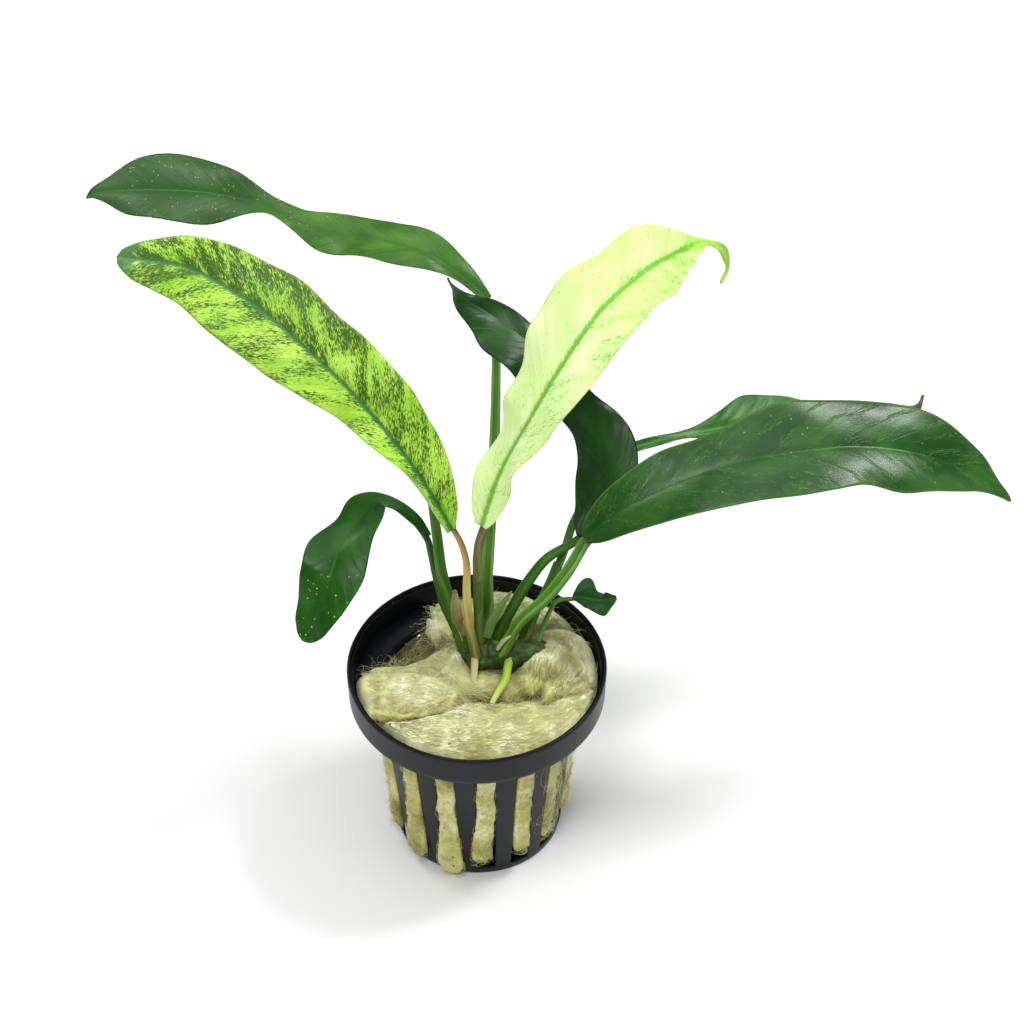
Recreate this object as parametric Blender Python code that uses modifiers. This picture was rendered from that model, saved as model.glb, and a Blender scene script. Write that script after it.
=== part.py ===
"""A potted water plant: nine leaves on a creeping rhizome, in a stone wool plug, in a slotted net pot.

The origin is the centre of the pot's foot, +Z is up and -Y is the side seen from the front.
All sizes below are in millimetres and become metres where the meshes are made.
"""
import math

import bmesh
import bpy
from mathutils import Matrix, Vector

MM = 0.001
OBJECT_NAME = "potted_water_plant"
GAP = 0.3
MERGE = 0.00001

# Net pot
POT_HEIGHT = 47.0
RIM_RADIUS = 27.5
COLLAR_FOOT_RADIUS = 27.3
COLLAR_HEIGHT = 7.5
COLLAR_WALL = 1.5
COLLAR_FLOOR = 1.4
BODY_TOP_RADIUS = 22.0
BODY_FOOT_RADIUS = 18.3
BODY_WALL = 1.2
FLOOR = 1.4
EDGE_ROUND = 0.4
POT_STEPS = 60

# Slots around the body, and drains in the floor
SLOT_COUNT = 15
SLOT_WIDTH = 4.2
SLOT_FOOT = 1.9
SLOT_HEAD = POT_HEIGHT - COLLAR_HEIGHT - 0.5
FIRST_SLOT_DEG = -84.6
DRAIN_COUNT = 8
DRAIN_WIDTH = 2.2
DRAIN_INNER = 5.0
DRAIN_OUTER = 13.0

# Stone wool
WOOL_BULGE = 0.7
WOOL_LEVEL = 43.2
WOOL_EDGE_DROP = 1.0
WOOL_TOP_RADII = (22.0, 17.0, 12.0, 7.0, 3.0)
WOOL_RIB_LEVELS = (14.0, 26.0)
# Each fold or hollow of the wool's top: centre x, centre y, reach along x, reach along y, height
WOOL_FOLDS = (
    (2.0, -18.0, 17.0, 5.0, 2.6),
    (20.0, -6.0, 6.0, 8.0, 1.8),
    (-16.0, -5.0, 8.0, 4.5, 2.2),
    (3.0, 19.0, 9.0, 5.0, 2.2),
    (21.0, 8.0, 5.0, 7.0, 1.4),
    (4.0, 1.0, 9.0, 5.5, -2.6),
    (-17.0, 17.0, 8.0, 7.0, -4.5),
)

# Where the plant's own origin stands in the pot: its leaves and stems are measured from there
PLANT_PLACE = (0.0, 4.0, -3.7)

# Leaf blades, petioles and small parts
BLADE_THICKNESS = 0.7
BLADE_STATIONS = 15
BLADE_COLUMNS = 4
SHEATH_STATIONS = 6
PETIOLE_STATIONS = 9
PETIOLE_BEVEL = 2
RHIZOME_STATIONS = 9
RHIZOME_BEVEL = 3

# A blade's path runs from its foot to its tip. Its roll is the sideways tilt in degrees, its left
# and right are half widths, and its cup is how far the halves rise, each as (share of length, value).
BLADES = {
    "leaf_mottled": {
        "path": ((-5.0, 5, 81), (-9, 9, 87), (-15, 13, 95.5), (-25, 19, 106),
                 (-35, 25, 113.5), (-46, 32, 119.5), (-59.5, 39, 123), (-72.5, 43, 122.5)),
        "roll": ((0, 55), (0.15, 42), (0.5, 38), (1, 32)),
        "left": ((0, 0.8), (0.08, 1.2), (0.2, 3), (0.35, 5.5), (0.5, 9), (0.68, 10),
                 (0.82, 8), (0.94, 4), (1, 0.6)),
        "right": ((0, 1), (0.06, 3), (0.2, 7.5), (0.4, 9.5), (0.6, 9.3), (0.8, 6.3),
                  (0.93, 3.6), (1, 0.6)),
        "cup": 8,
    },
    "leaf_pale": {
        "path": ((1, 2, 85), (5, 7, 95.5), (10.5, 10, 106), (17, 15, 116), (25, 23, 124),
                 (34, 32, 127), (41, 39, 126.5), (47, 44, 125.5), (51, 46, 122), (52, 46, 117.5),
                 (50.5, 44, 115)),
        "roll": ((0, 5), (0.3, 5), (0.5, -5), (0.65, -20), (0.8, -30), (1, -30)),
        "left": ((0, 2), (0.03, 4.5), (0.12, 6.5), (0.3, 10), (0.45, 10.5), (0.6, 10.5),
                 (0.7, 9), (0.78, 6), (0.85, 1.5), (0.92, 0.7), (1, 0.5)),
        "right": ((0, 1.5), (0.03, 3.5), (0.15, 6), (0.35, 9), (0.5, 9), (0.6, 8), (0.7, 7),
                  (0.78, 4.5), (0.85, 1.2), (0.92, 0.6), (1, 0.5)),
        "cup": 6,
    },
    "leaf_long": {
        "path": ((2.5, 49, 107), (-3.5, 52, 111.5), (-10.5, 54, 115.5), (-19, 57, 116.5),
                 (-28.5, 60, 116), (-37.5, 63, 117), (-44.5, 66, 119), (-52.5, 69, 119.5),
                 (-62.5, 73, 118), (-74, 76, 116), (-84, 78, 113.5)),
        "roll": ((0, 20), (0.3, 15), (0.5, 25), (0.8, 20), (1, 20)),
        "left": ((0, 1), (0.1, 2.5), (0.25, 5.5), (0.4, 5), (0.48, 2.5), (0.55, 2.5),
                 (0.65, 6.5), (0.75, 8), (0.88, 6), (0.96, 2), (1, 0.5)),
        "right": ((0, 1), (0.1, 3), (0.25, 4), (0.4, 3), (0.48, 2.5), (0.55, 2.6),
                  (0.65, 5.5), (0.75, 8), (0.88, 7), (0.96, 3), (1, 0.5)),
        "cup": 8,
    },
    "leaf_dark": {
        "path": ((21.5, 11.5, 73.5), (24, 16, 79), (26, 20, 86), (24.5, 24, 92.5),
                 (19.5, 28, 99.5), (14, 32, 105.5), (8.5, 35, 109), (3, 38, 111.5),
                 (-2, 39, 114.5), (-4.5, 39, 117.5), (-5.5, 38, 121)),
        "roll": ((0, 0), (0.5, 20), (1, 30)),
        "left": ((0, 0.8), (0.06, 3), (0.2, 5), (0.35, 5), (0.55, 8), (0.75, 7.5), (0.88, 4),
                 (0.95, 2), (1, 0.5)),
        "right": ((0, 0.8), (0.05, 5), (0.15, 8), (0.3, 7), (0.45, 3.6), (0.6, 3.6), (0.75, 3.6),
                  (0.88, 1.8), (0.95, 1.2), (1, 0.5)),
        "cup": 10,
    },
    "leaf_broad": {
        "path": ((22.3, 8, 76), (30.5, 9, 83.5), (42.5, 11, 89.5), (54.5, 13, 93), (67, 15, 94),
                 (79, 17, 93.5), (92, 18, 90.5), (103, 18, 85), (110, 17, 80)),
        "roll": ((0, -30), (0.3, -22), (0.6, -25), (1, -20)),
        "left": ((0, 0.8), (0.08, 4), (0.25, 8), (0.5, 10.5), (0.75, 10), (0.9, 6.5),
                 (0.97, 2.5), (1, 0.6)),
        "right": ((0, 0.8), (0.08, 4), (0.25, 8.5), (0.5, 10), (0.65, 9), (0.75, 9.5),
                  (0.9, 4.8), (0.97, 1.8), (1, 0.6)),
        "cup": 8,
    },
    "leaf_far": {
        "path": ((33, 30, 82), (40, 33, 82), (47.5, 36, 81.5), (57.5, 40, 80), (69.5, 44, 78),
                 (83, 47, 76.5), (93.5, 49, 75.5), (98.5, 49, 78.5)),
        "roll": ((0, -25), (1, -20)),
        "left": ((0, 1.2), (0.2, 1.3), (0.3, 3), (0.4, 6), (0.55, 4), (0.7, 3.8), (0.85, 2.7),
                 (0.95, 1), (1, 0.5)),
        "right": ((0, 1.2), (0.2, 1.3), (0.45, 6), (0.7, 6.5), (0.88, 4), (0.95, 1.2), (1, 0.5)),
        "cup": 8,
    },
    "leaf_drooping": {
        "path": ((-10, 10, 74.8), (-13.5, 13, 77.7), (-17.5, 14, 80), (-21, 13, 80.5),
                 (-24.5, 8, 79.5), (-28, 2, 78), (-30, -3, 75), (-32, -6, 70.5),
                 (-34.5, -8, 65.5), (-36, -9, 63)),
        "roll": ((0, 0), (0.4, 0), (1, 20)),
        "left": ((0, 0.8), (0.12, 1.5), (0.25, 2.8), (0.36, 5.5), (0.48, 5), (0.6, 6.5),
                 (0.75, 6), (0.9, 4.5), (0.97, 2.5), (1, 0.8)),
        "right": ((0, 0.8), (0.12, 1.5), (0.25, 2.5), (0.36, 4.5), (0.48, 4), (0.6, 6.5),
                  (0.75, 6), (0.9, 4.5), (0.97, 2.5), (1, 0.8)),
        "cup": 10,
    },
    "leaf_shaded": {
        "path": ((-10.5, 16, 84), (-16.5, 25, 90.5), (-26, 34, 97), (-39, 43, 102.5),
                 (-51.5, 50, 107)),
        "roll": ((0, 40), (1, 30)),
        "left": ((0, 0.8), (0.2, 2.5), (0.5, 5), (0.8, 4), (1, 0.5)),
        "right": ((0, 0.8), (0.2, 4), (0.5, 6), (0.8, 4.5), (1, 0.5)),
        "cup": 8,
    },
    "leaf_young": {
        "path": ((20.3, 12, 55.2), (22.5, 11, 56), (26, 9, 57), (29.5, 8, 58.5)),
        "roll": ((0, -20), (1, -20)),
        "left": ((0, 0.6), (0.15, 3.6), (0.3, 3.5), (0.5, 1.2), (0.8, 1), (1, 0.5)),
        "right": ((0, 0.6), (0.3, 1.5), (0.6, 2.5), (0.8, 3.6), (1, 0.8)),
        "cup": 12,
    },
}

# Sheaths and bracts are small deep gutters that clasp the feet of the petioles.
SHEATHS = {
    "sheath_tall": {
        "path": ((2.6, 0.4, 54.4), (4.3, 1.0, 60), (7.2, 2.2, 66.5)),
        "roll": ((0, 60), (1, 40)),
        "left": ((0, 0.9), (0.4, 1.3), (1, 0.3)),
        "right": ((0, 0.9), (0.4, 1.3), (1, 0.3)),
        "cup": 30,
    },
    "sheath_slim": {
        "path": ((12.8, 6.2, 58.0), (15.2, 9.2, 62.5), (16.6, 11.6, 66.0)),
        "roll": ((0, 10), (1, 10)),
        "left": ((0, 0.6), (0.5, 0.7), (1, 0.3)),
        "right": ((0, 0.6), (0.5, 0.7), (1, 0.3)),
        "cup": 30,
    },
    "bract_tan": {
        "path": ((-3.0, -0.6, 55.4), (-4.2, 0.0, 60.5), (-4.6, 1.4, 67.5)),
        "roll": ((0, 0), (1, 0)),
        "left": ((0, 0.8), (0.5, 0.9), (1, 0.4)),
        "right": ((0, 0.8), (0.5, 0.8), (1, 0.4)),
        "cup": 15,
    },
    "bract_small": {
        "path": ((4.4, -3.2, 54.6), (5.4, -3.2, 56.4), (7.0, -2.9, 58.2)),
        "roll": ((0, 20), (1, 20)),
        "left": ((0, 0.6), (0.5, 0.8), (1, 0.3)),
        "right": ((0, 0.6), (0.5, 0.8), (1, 0.3)),
        "cup": 25,
    },
}

# A stem's path runs from its foot upwards; its radii are spread evenly along it.
STEMS = {
    "petiole_mottled": (((-0.8, -1.8, 54.6), (-1.7, -1.3, 60.5), (-2.0, -0.6, 68.5),
                         (-2.0, 1.5, 75), (-3.0, 3.5, 78.5), (-4.6, 4.6, 80.4)), (1.1, 0.9, 0.6)),
    "petiole_pale": (((0.6, 1.4, 54.4), (0.3, 1.6, 61.5), (0.2, 1.4, 71.5), (0.8, 1.7, 84.3)),
                     (1.0, 1.0, 1.1)),
    "petiole_long": (((1.6, 5.4, 51.8), (2.1, 5.8, 57.5), (2.2, 8, 66.5), (2.7, 14, 72.5),
                      (3.6, 26, 84), (4.0, 38, 96), (3.7, 46, 103), (2.8, 48.6, 106.4)),
                     (1.2, 1.2, 0.8)),
    "petiole_dark": (((5.2, 3.9, 54.2), (7.6, 4.1, 60), (10.8, 5.6, 66), (14.8, 8.2, 70.2),
                      (20.8, 11.2, 72.6)), (1.2, 1.2, 0.9)),
    "petiole_broad": (((6.4, -1.4, 55.0), (9.0, -0.4, 60), (14.5, 1.6, 65), (19, 4.5, 70),
                       (21.8, 7.5, 75.2)), (1.2, 1.3, 1.3)),
    "petiole_far": (((10.8, 2.8, 54.6), (12.4, 4.4, 58.5), (15.8, 7.6, 64.5), (18.2, 11, 69),
                     (20.4, 16.2, 73), (25.5, 24, 77.6), (32.5, 29.6, 81.8)), (1.0, 0.9, 1.0)),
    "petiole_drooping": (((-4.6, 5.6, 51.4), (-7.1, 6.8, 58), (-8.8, 8.2, 66), (-9.7, 9.5, 71),
                          (-9.8, 9.8, 74.2)), (0.9, 0.9, 0.7)),
    "petiole_shaded": (((-3.6, 2.6, 53.0), (-5.5, 3.0, 61.5), (-7.3, 4.2, 70), (-8.3, 8, 78),
                        (-10.2, 15.4, 83.4)), (1.2, 1.2, 0.9)),
    "petiole_young": (((14.0, 3.6, 54.2), (14.9, 5.2, 56.0), (16.8, 8.4, 57.2),
                       (19.9, 11.7, 55.6)), (0.6, 0.5, 0.5)),
    "root_cream": (((-0.6, -3.9, 49.4), (-0.7, -4.8, 48.2), (-0.9, -5.8, 46.7)), (0.8, 0.8, 0.7)),
    "root_green": (((6.4, -4.3, 49.8), (6.0, -6.6, 48.8), (4.4, -9.4, 47.9), (3.0, -12.9, 47.9)),
                   (0.9, 0.9, 0.5)),
}
RHIZOME_PATH = ((-5.0, 1.2, 48.3), (-3.5, 1.0, 48.6), (3, 0, 49.4), (9, 0, 50.4), (15, 1, 50.2),
                (16.6, 1.3, 50.0))
RHIZOME_RADII = (0.9, 2.4, 3.3, 3.5, 3.4, 3.2, 2.9, 2.4, 0.9)

COLOURS = {
    "pot_black": ((0.022, 0.024, 0.028), 0.42),
    "wool": ((0.62, 0.62, 0.36), 0.95),
    "leaf_green": ((0.035, 0.12, 0.025), 0.35),
    "leaf_mottled": ((0.30, 0.60, 0.10), 0.40),
    "leaf_pale": ((0.76, 0.93, 0.48), 0.42),
    "petiole_green": ((0.09, 0.25, 0.05), 0.45),
    "petiole_amber": ((0.62, 0.42, 0.16), 0.45),
    "petiole_olive": ((0.22, 0.20, 0.08), 0.45),
    "bract": ((0.55, 0.50, 0.28), 0.60),
    "rhizome": ((0.05, 0.12, 0.03), 0.60),
    "root": ((0.55, 0.62, 0.20), 0.50),
}
COLOUR_OF = {
    "net_pot": "pot_black",
    "stone_wool": "wool",
    "rhizome": "rhizome",
    "leaf_mottled": "leaf_mottled",
    "leaf_pale": "leaf_pale",
    "petiole_mottled": "petiole_amber",
    "petiole_pale": "petiole_olive",
    "bract_tan": "bract",
    "bract_small": "bract",
    "root_cream": "bract",
    "root_green": "root",
}


def clear_scene():
    """Remove the objects that the file starts with."""
    for scene_object in list(bpy.data.objects):
        bpy.data.objects.remove(scene_object, do_unlink=True)


def make_collection(name):
    """A collection linked to the scene."""
    collection = bpy.data.collections.new(name)
    bpy.context.scene.collection.children.link(collection)
    return collection


def make_material(name):
    """The Principled material of one sub-part."""
    if name.startswith("leaf"):
        finish = COLOUR_OF.get(name, "leaf_green")
    else:
        finish = COLOUR_OF.get(name, "petiole_green")
    colour, roughness = COLOURS[finish]
    material = bpy.data.materials.new(name)
    material.use_nodes = True
    shader = material.node_tree.nodes["Principled BSDF"]
    shader.inputs["Base Color"].default_value = (*colour, 1.0)
    shader.inputs["Roughness"].default_value = roughness
    shader.inputs["Metallic"].default_value = 0.0
    return material


def make_origin(name, collection, place):
    """An empty that carries sub-parts, at its place in millimetres."""
    origin = bpy.data.objects.new(name, None)
    collection.objects.link(origin)
    origin.location = Vector(place) * MM
    return origin


def add_part(name, data, collection, parent, place):
    """Put a mesh or curve in the scene as a named sub-part at its place in millimetres."""
    part = bpy.data.objects.new(name, data)
    collection.objects.link(part)
    part.parent = parent
    part.location = Vector(place) * MM
    data.materials.append(make_material(name))
    return part


def chord_shares(points):
    """The share of the path's length reached at each point."""
    shares = [0.0]
    for before, after in zip(points, points[1:]):
        shares.append(shares[-1] + (Vector(after) - Vector(before)).length)
    return [share / shares[-1] for share in shares]


def hermite(shares, values, slopes, share):
    """A smooth value between two neighbours of a table, from their values and slopes."""
    index = 0
    while index < len(shares) - 2 and share > shares[index + 1]:
        index += 1
    span = shares[index + 1] - shares[index]
    u = (share - shares[index]) / span
    return (values[index] * (2 * u ** 3 - 3 * u ** 2 + 1)
            + slopes[index] * (span * (u ** 3 - 2 * u ** 2 + u))
            + values[index + 1] * (3 * u ** 2 - 2 * u ** 3)
            + slopes[index + 1] * (span * (u ** 3 - u ** 2)))


def slopes_of(shares, values):
    """The slope at each entry of a table, taken across its neighbours."""
    last = len(values) - 1
    slopes = []
    for index in range(len(values)):
        low = max(index - 1, 0)
        high = min(index + 1, last)
        slopes.append((values[high] - values[low]) / (shares[high] - shares[low]))
    return slopes


def point_on(points, share):
    """The point at a share of the length of the smooth curve through the points."""
    shares = chord_shares(points)
    vectors = [Vector(point) for point in points]
    return hermite(shares, vectors, slopes_of(shares, vectors), share)


def value_on(stops, share):
    """The value at a share of the length, smooth between (share, value) stops."""
    shares = [stop[0] for stop in stops]
    values = [stop[1] for stop in stops]
    return hermite(shares, values, slopes_of(shares, values), share)


def spine_frame(path, roll, share):
    """The point, side direction and face direction of a blade at a share of its length."""
    step = 0.002
    point = point_on(path, share)
    ahead = point_on(path, min(share + step, 1.0))
    behind = point_on(path, max(share - step, 0.0))
    along = (ahead - behind).normalized()
    level = along.cross(Vector((0, 0, 1))).normalized()
    face = level.cross(along)
    turn = Matrix.Rotation(-math.radians(value_on(roll, share)), 3, along)
    return point, turn @ level, turn @ face


def make_blade(name, shape, stations, collection, parent):
    """A thin blade: a grid laid along a curved spine, given its thickness by Solidify."""
    blade = bmesh.new()
    bmesh.ops.create_grid(blade, x_segments=BLADE_COLUMNS, y_segments=stations, size=0.5)
    foot = Vector(shape["path"][0])
    rise = math.radians(shape["cup"])
    for vertex in blade.verts:
        across = vertex.co.x * 2
        share = vertex.co.y + 0.5
        point, side, face = spine_frame(shape["path"], shape["roll"], share)
        half_width = value_on(shape["right"] if across > 0 else shape["left"], share)
        reach = across * half_width * math.cos(rise)
        lift = abs(across) * half_width * math.sin(rise)
        vertex.co = (point - foot + side * reach + face * lift) * MM
    mesh = bpy.data.meshes.new(name)
    blade.to_mesh(mesh)
    blade.free()
    mesh.shade_smooth()
    part = add_part(name, mesh, collection, parent, foot)
    thicken = part.modifiers.new("thickness", "SOLIDIFY")
    thicken.thickness = BLADE_THICKNESS * MM
    thicken.offset = 0.0
    return part


def make_stem(name, path, radii, stations, bevel_resolution, collection, parent):
    """A round stem: a beveled curve along its path, thick and thin as its radii say."""
    curve = bpy.data.curves.new(name, "CURVE")
    curve.dimensions = "3D"
    curve.bevel_depth = MM
    curve.bevel_resolution = bevel_resolution
    curve.use_fill_caps = True
    spline = curve.splines.new("POLY")
    spline.points.add(stations - 1)
    radius_stops = [(index / (len(radii) - 1), radius) for index, radius in enumerate(radii)]
    foot = Vector(path[0])
    for index, point in enumerate(spline.points):
        share = index / (stations - 1)
        place = (point_on(path, share) - foot) * MM
        point.co = (*place, 1.0)
        point.radius = value_on(radius_stops, share)
    spline.use_smooth = True
    return add_part(name, curve, collection, parent, foot)


def pot_profile():
    """Half of the pot's section, from the axis over the inside and the rim to the foot."""
    ledge = POT_HEIGHT - COLLAR_HEIGHT
    inner_foot = BODY_FOOT_RADIUS - BODY_WALL
    inner_top = BODY_TOP_RADIUS - BODY_WALL
    collar_inner = RIM_RADIUS - COLLAR_WALL
    return (
        (0, FLOOR), (inner_foot, FLOOR), (inner_top, ledge + COLLAR_FLOOR),
        (collar_inner - EDGE_ROUND, ledge + COLLAR_FLOOR),
        (collar_inner, POT_HEIGHT - EDGE_ROUND), (collar_inner + EDGE_ROUND, POT_HEIGHT),
        (RIM_RADIUS - EDGE_ROUND, POT_HEIGHT), (RIM_RADIUS, POT_HEIGHT - EDGE_ROUND),
        (COLLAR_FOOT_RADIUS, ledge), (BODY_TOP_RADIUS, ledge),
        (BODY_FOOT_RADIUS, EDGE_ROUND), (BODY_FOOT_RADIUS - EDGE_ROUND, 0), (0, 0),
    )


def add_cutter_box(cutters, low, high, turn):
    """A box between two corners in millimetres, turned about the pot's axis."""
    low = Vector(low)
    high = Vector(high)
    size = high - low
    place = Matrix.Translation((low + high) / 2 * MM) @ Matrix.Diagonal((*(size * MM), 1.0))
    bmesh.ops.create_cube(cutters, size=1.0, matrix=Matrix.Rotation(turn, 4, "Z") @ place)


def make_pot_cutters(collection):
    """The slots of the wall and the drains of the floor, as one cutter."""
    cutters = bmesh.new()
    half_slot = SLOT_WIDTH / 2
    inside = BODY_FOOT_RADIUS - BODY_WALL - 1.5
    outside = BODY_TOP_RADIUS + 1.5
    for index in range(SLOT_COUNT):
        turn = math.radians(FIRST_SLOT_DEG + index * 360 / SLOT_COUNT)
        add_cutter_box(cutters, (inside, -half_slot, SLOT_FOOT), (outside, half_slot, SLOT_HEAD), turn)
    half_drain = DRAIN_WIDTH / 2
    for index in range(DRAIN_COUNT):
        turn = 2 * math.pi * index / DRAIN_COUNT
        add_cutter_box(cutters, (DRAIN_INNER, -half_drain, -FLOOR),
                       (DRAIN_OUTER, half_drain, FLOOR * 2), turn)
    mesh = bpy.data.meshes.new("pot_openings")
    cutters.to_mesh(mesh)
    cutters.free()
    cutter = bpy.data.objects.new("pot_openings", mesh)
    collection.objects.link(cutter)
    cutter.hide_render = True
    cutter.display_type = "WIRE"
    return cutter


def make_pot(collection, cutter_collection, parent):
    """The net pot: a turned cup with a deep collar, slotted down its wall."""
    profile = pot_profile()
    mesh = bpy.data.meshes.new("net_pot")
    edges = [(index, index + 1) for index in range(len(profile) - 1)]
    mesh.from_pydata([(x * MM, 0, z * MM) for x, z in profile], edges, [])
    pot = add_part("net_pot", mesh, collection, parent, (0, 0, 0))
    turned = pot.modifiers.new("turned", "SCREW")
    turned.steps = POT_STEPS
    turned.render_steps = POT_STEPS
    turned.use_merge_vertices = True
    turned.merge_threshold = MERGE
    turned.use_smooth_shade = True
    slots = pot.modifiers.new("slots", "BOOLEAN")
    slots.operation = "DIFFERENCE"
    slots.solver = "EXACT"
    slots.object = make_pot_cutters(cutter_collection)
    return pot


def wool_height(x, y):
    """How high the wool's folded top is above the pot's foot."""
    height = WOOL_LEVEL
    for centre_x, centre_y, reach_x, reach_y, rise in WOOL_FOLDS:
        away = ((x - centre_x) / reach_x) ** 2 + ((y - centre_y) / reach_y) ** 2
        height += rise * math.exp(-away)
    return height


def wool_columns(radius, rib_radius):
    """One ring of the wool in plan: four points to a slot, two of them on its rib."""
    half_rib = SLOT_WIDTH / 2 - GAP
    ring = []
    for index in range(SLOT_COUNT):
        middle = math.radians(FIRST_SLOT_DEG + index * 360 / SLOT_COUNT)
        flank = math.asin(half_rib / radius)
        crest = math.asin(half_rib * 0.9 / rib_radius)
        for angle, reach in ((-flank, radius), (-crest, rib_radius), (crest, rib_radius),
                             (flank, radius)):
            ring.append((reach * math.cos(middle + angle), reach * math.sin(middle + angle)))
    return ring


def wool_rings():
    """The wool's rings from its foot, up its sides and over its top."""
    ledge = POT_HEIGHT - COLLAR_HEIGHT

    def wall_radius(z):
        share = (z - EDGE_ROUND) / (ledge - EDGE_ROUND)
        return BODY_FOOT_RADIUS + (BODY_TOP_RADIUS - BODY_FOOT_RADIUS) * share

    def side_radius(z):
        return wall_radius(z) - BODY_WALL - GAP - 0.15

    foot = FLOOR + GAP
    rib_foot = SLOT_FOOT + GAP
    rib_head = SLOT_HEAD - GAP
    rings = [[(x, y, foot) for x, y in wool_columns(side_radius(foot), side_radius(foot))]]
    rings.append([(x, y, rib_foot)
                  for x, y in wool_columns(side_radius(rib_foot), side_radius(rib_foot) + 0.05)])
    for z in (rib_foot + 0.4, *WOOL_RIB_LEVELS, rib_head - 0.4):
        columns = wool_columns(side_radius(z), wall_radius(z) + WOOL_BULGE)
        rings.append([(x, y, z) for x, y in columns])
    for z in (rib_head, ledge + COLLAR_FLOOR + GAP):
        columns = wool_columns(side_radius(rib_head), side_radius(rib_head) + 0.05)
        rings.append([(x, y, z) for x, y in columns])
    edge = RIM_RADIUS - COLLAR_WALL - EDGE_ROUND - GAP
    columns = wool_columns(edge, edge)
    rings.append([(x, y, ledge + COLLAR_FLOOR + GAP + 0.1) for x, y in columns])
    rings.append([(x, y, max(wool_height(x, y) - WOOL_EDGE_DROP, ledge + COLLAR_FLOOR + 0.9))
                  for x, y in columns])
    for radius in WOOL_TOP_RADII:
        columns = wool_columns(radius, radius)
        rings.append([(x, y, wool_height(x, y)) for x, y in columns])
    return rings


def make_wool(collection, parent):
    """The stone wool plug: rings joined up its ribbed sides and over its folded top."""
    rings = wool_rings()
    wool = bmesh.new()
    loops = []
    for ring in rings:
        loops.append([wool.verts.new(Vector(point) * MM) for point in ring])
    count = len(loops[0])
    for lower, upper in zip(loops, loops[1:]):
        for index in range(count):
            after = (index + 1) % count
            wool.faces.new((lower[index], lower[after], upper[after], upper[index]))
    bottom = wool.verts.new(Vector((0, 0, rings[0][0][2])) * MM)
    top = wool.verts.new(Vector((0, 0, wool_height(0, 0))) * MM)
    for index in range(count):
        after = (index + 1) % count
        wool.faces.new((loops[0][after], loops[0][index], bottom))
        wool.faces.new((loops[-1][index], loops[-1][after], top))
    mesh = bpy.data.meshes.new("stone_wool")
    wool.to_mesh(mesh)
    wool.free()
    mesh.shade_smooth()
    return add_part("stone_wool", mesh, collection, parent, (0, 0, 0))


def build():
    """Make every sub-part of the potted plant."""
    clear_scene()
    parts = make_collection(OBJECT_NAME)
    cutters = make_collection("cutters")
    foot = make_origin("pot_origin", parts, (0, 0, 0))
    crown = make_origin("plant_origin", parts, PLANT_PLACE)
    make_pot(parts, cutters, foot)
    make_wool(parts, foot)
    make_stem("rhizome", RHIZOME_PATH, RHIZOME_RADII, RHIZOME_STATIONS, RHIZOME_BEVEL, parts, crown)
    for name, (path, radii) in STEMS.items():
        make_stem(name, path, radii, PETIOLE_STATIONS, PETIOLE_BEVEL, parts, crown)
    for name, shape in BLADES.items():
        make_blade(name, shape, BLADE_STATIONS, parts, crown)
    for name, shape in SHEATHS.items():
        make_blade(name, shape, SHEATH_STATIONS, parts, crown)


build()
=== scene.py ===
"""The finished surfaces of a potted water plant: leaves, stems, rhizome, stone wool and net pot.

Lengths in the tables are millimetres and become metres in the meshes. A leaf or stem is laid out in
the plant's own frame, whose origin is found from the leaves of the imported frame.
"""

import logging
import math
import random
from dataclasses import dataclass, field
from enum import Enum
from typing import Callable, NamedTuple, Sequence, Union

import bmesh
import bpy
import numpy as np
from mathutils import Matrix, Vector, noise


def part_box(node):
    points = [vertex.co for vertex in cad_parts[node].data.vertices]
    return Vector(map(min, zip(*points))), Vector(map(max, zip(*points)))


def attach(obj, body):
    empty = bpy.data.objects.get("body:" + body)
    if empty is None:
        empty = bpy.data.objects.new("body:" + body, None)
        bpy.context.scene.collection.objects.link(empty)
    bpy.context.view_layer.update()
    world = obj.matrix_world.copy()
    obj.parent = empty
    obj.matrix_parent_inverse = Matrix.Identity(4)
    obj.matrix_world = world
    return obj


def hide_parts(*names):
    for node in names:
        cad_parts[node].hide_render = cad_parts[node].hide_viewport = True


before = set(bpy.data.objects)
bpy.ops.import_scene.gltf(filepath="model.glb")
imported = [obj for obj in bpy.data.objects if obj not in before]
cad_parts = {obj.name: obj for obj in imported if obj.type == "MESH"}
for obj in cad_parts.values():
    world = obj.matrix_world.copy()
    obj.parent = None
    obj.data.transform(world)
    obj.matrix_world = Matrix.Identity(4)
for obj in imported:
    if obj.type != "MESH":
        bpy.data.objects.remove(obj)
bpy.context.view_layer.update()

log = logging.getLogger("potted_water_plant")

MM = 0.001
BODY = "root"
MERGE = 0.00001
FULL_TURN = 2 * math.pi
STRAND_POINTS = 5
SKIN_IOR = 1.40
SKIN_GLOW_DEPTH = 0.0006

Stops = tuple[tuple[float, float], ...]
Point = tuple[float, float, float]
Path = tuple[Point, ...]
Rgb = tuple[float, float, float]
Value = Union[float, Vector]
Places = Union[float, np.ndarray]


# ---- Smooth curves


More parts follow.
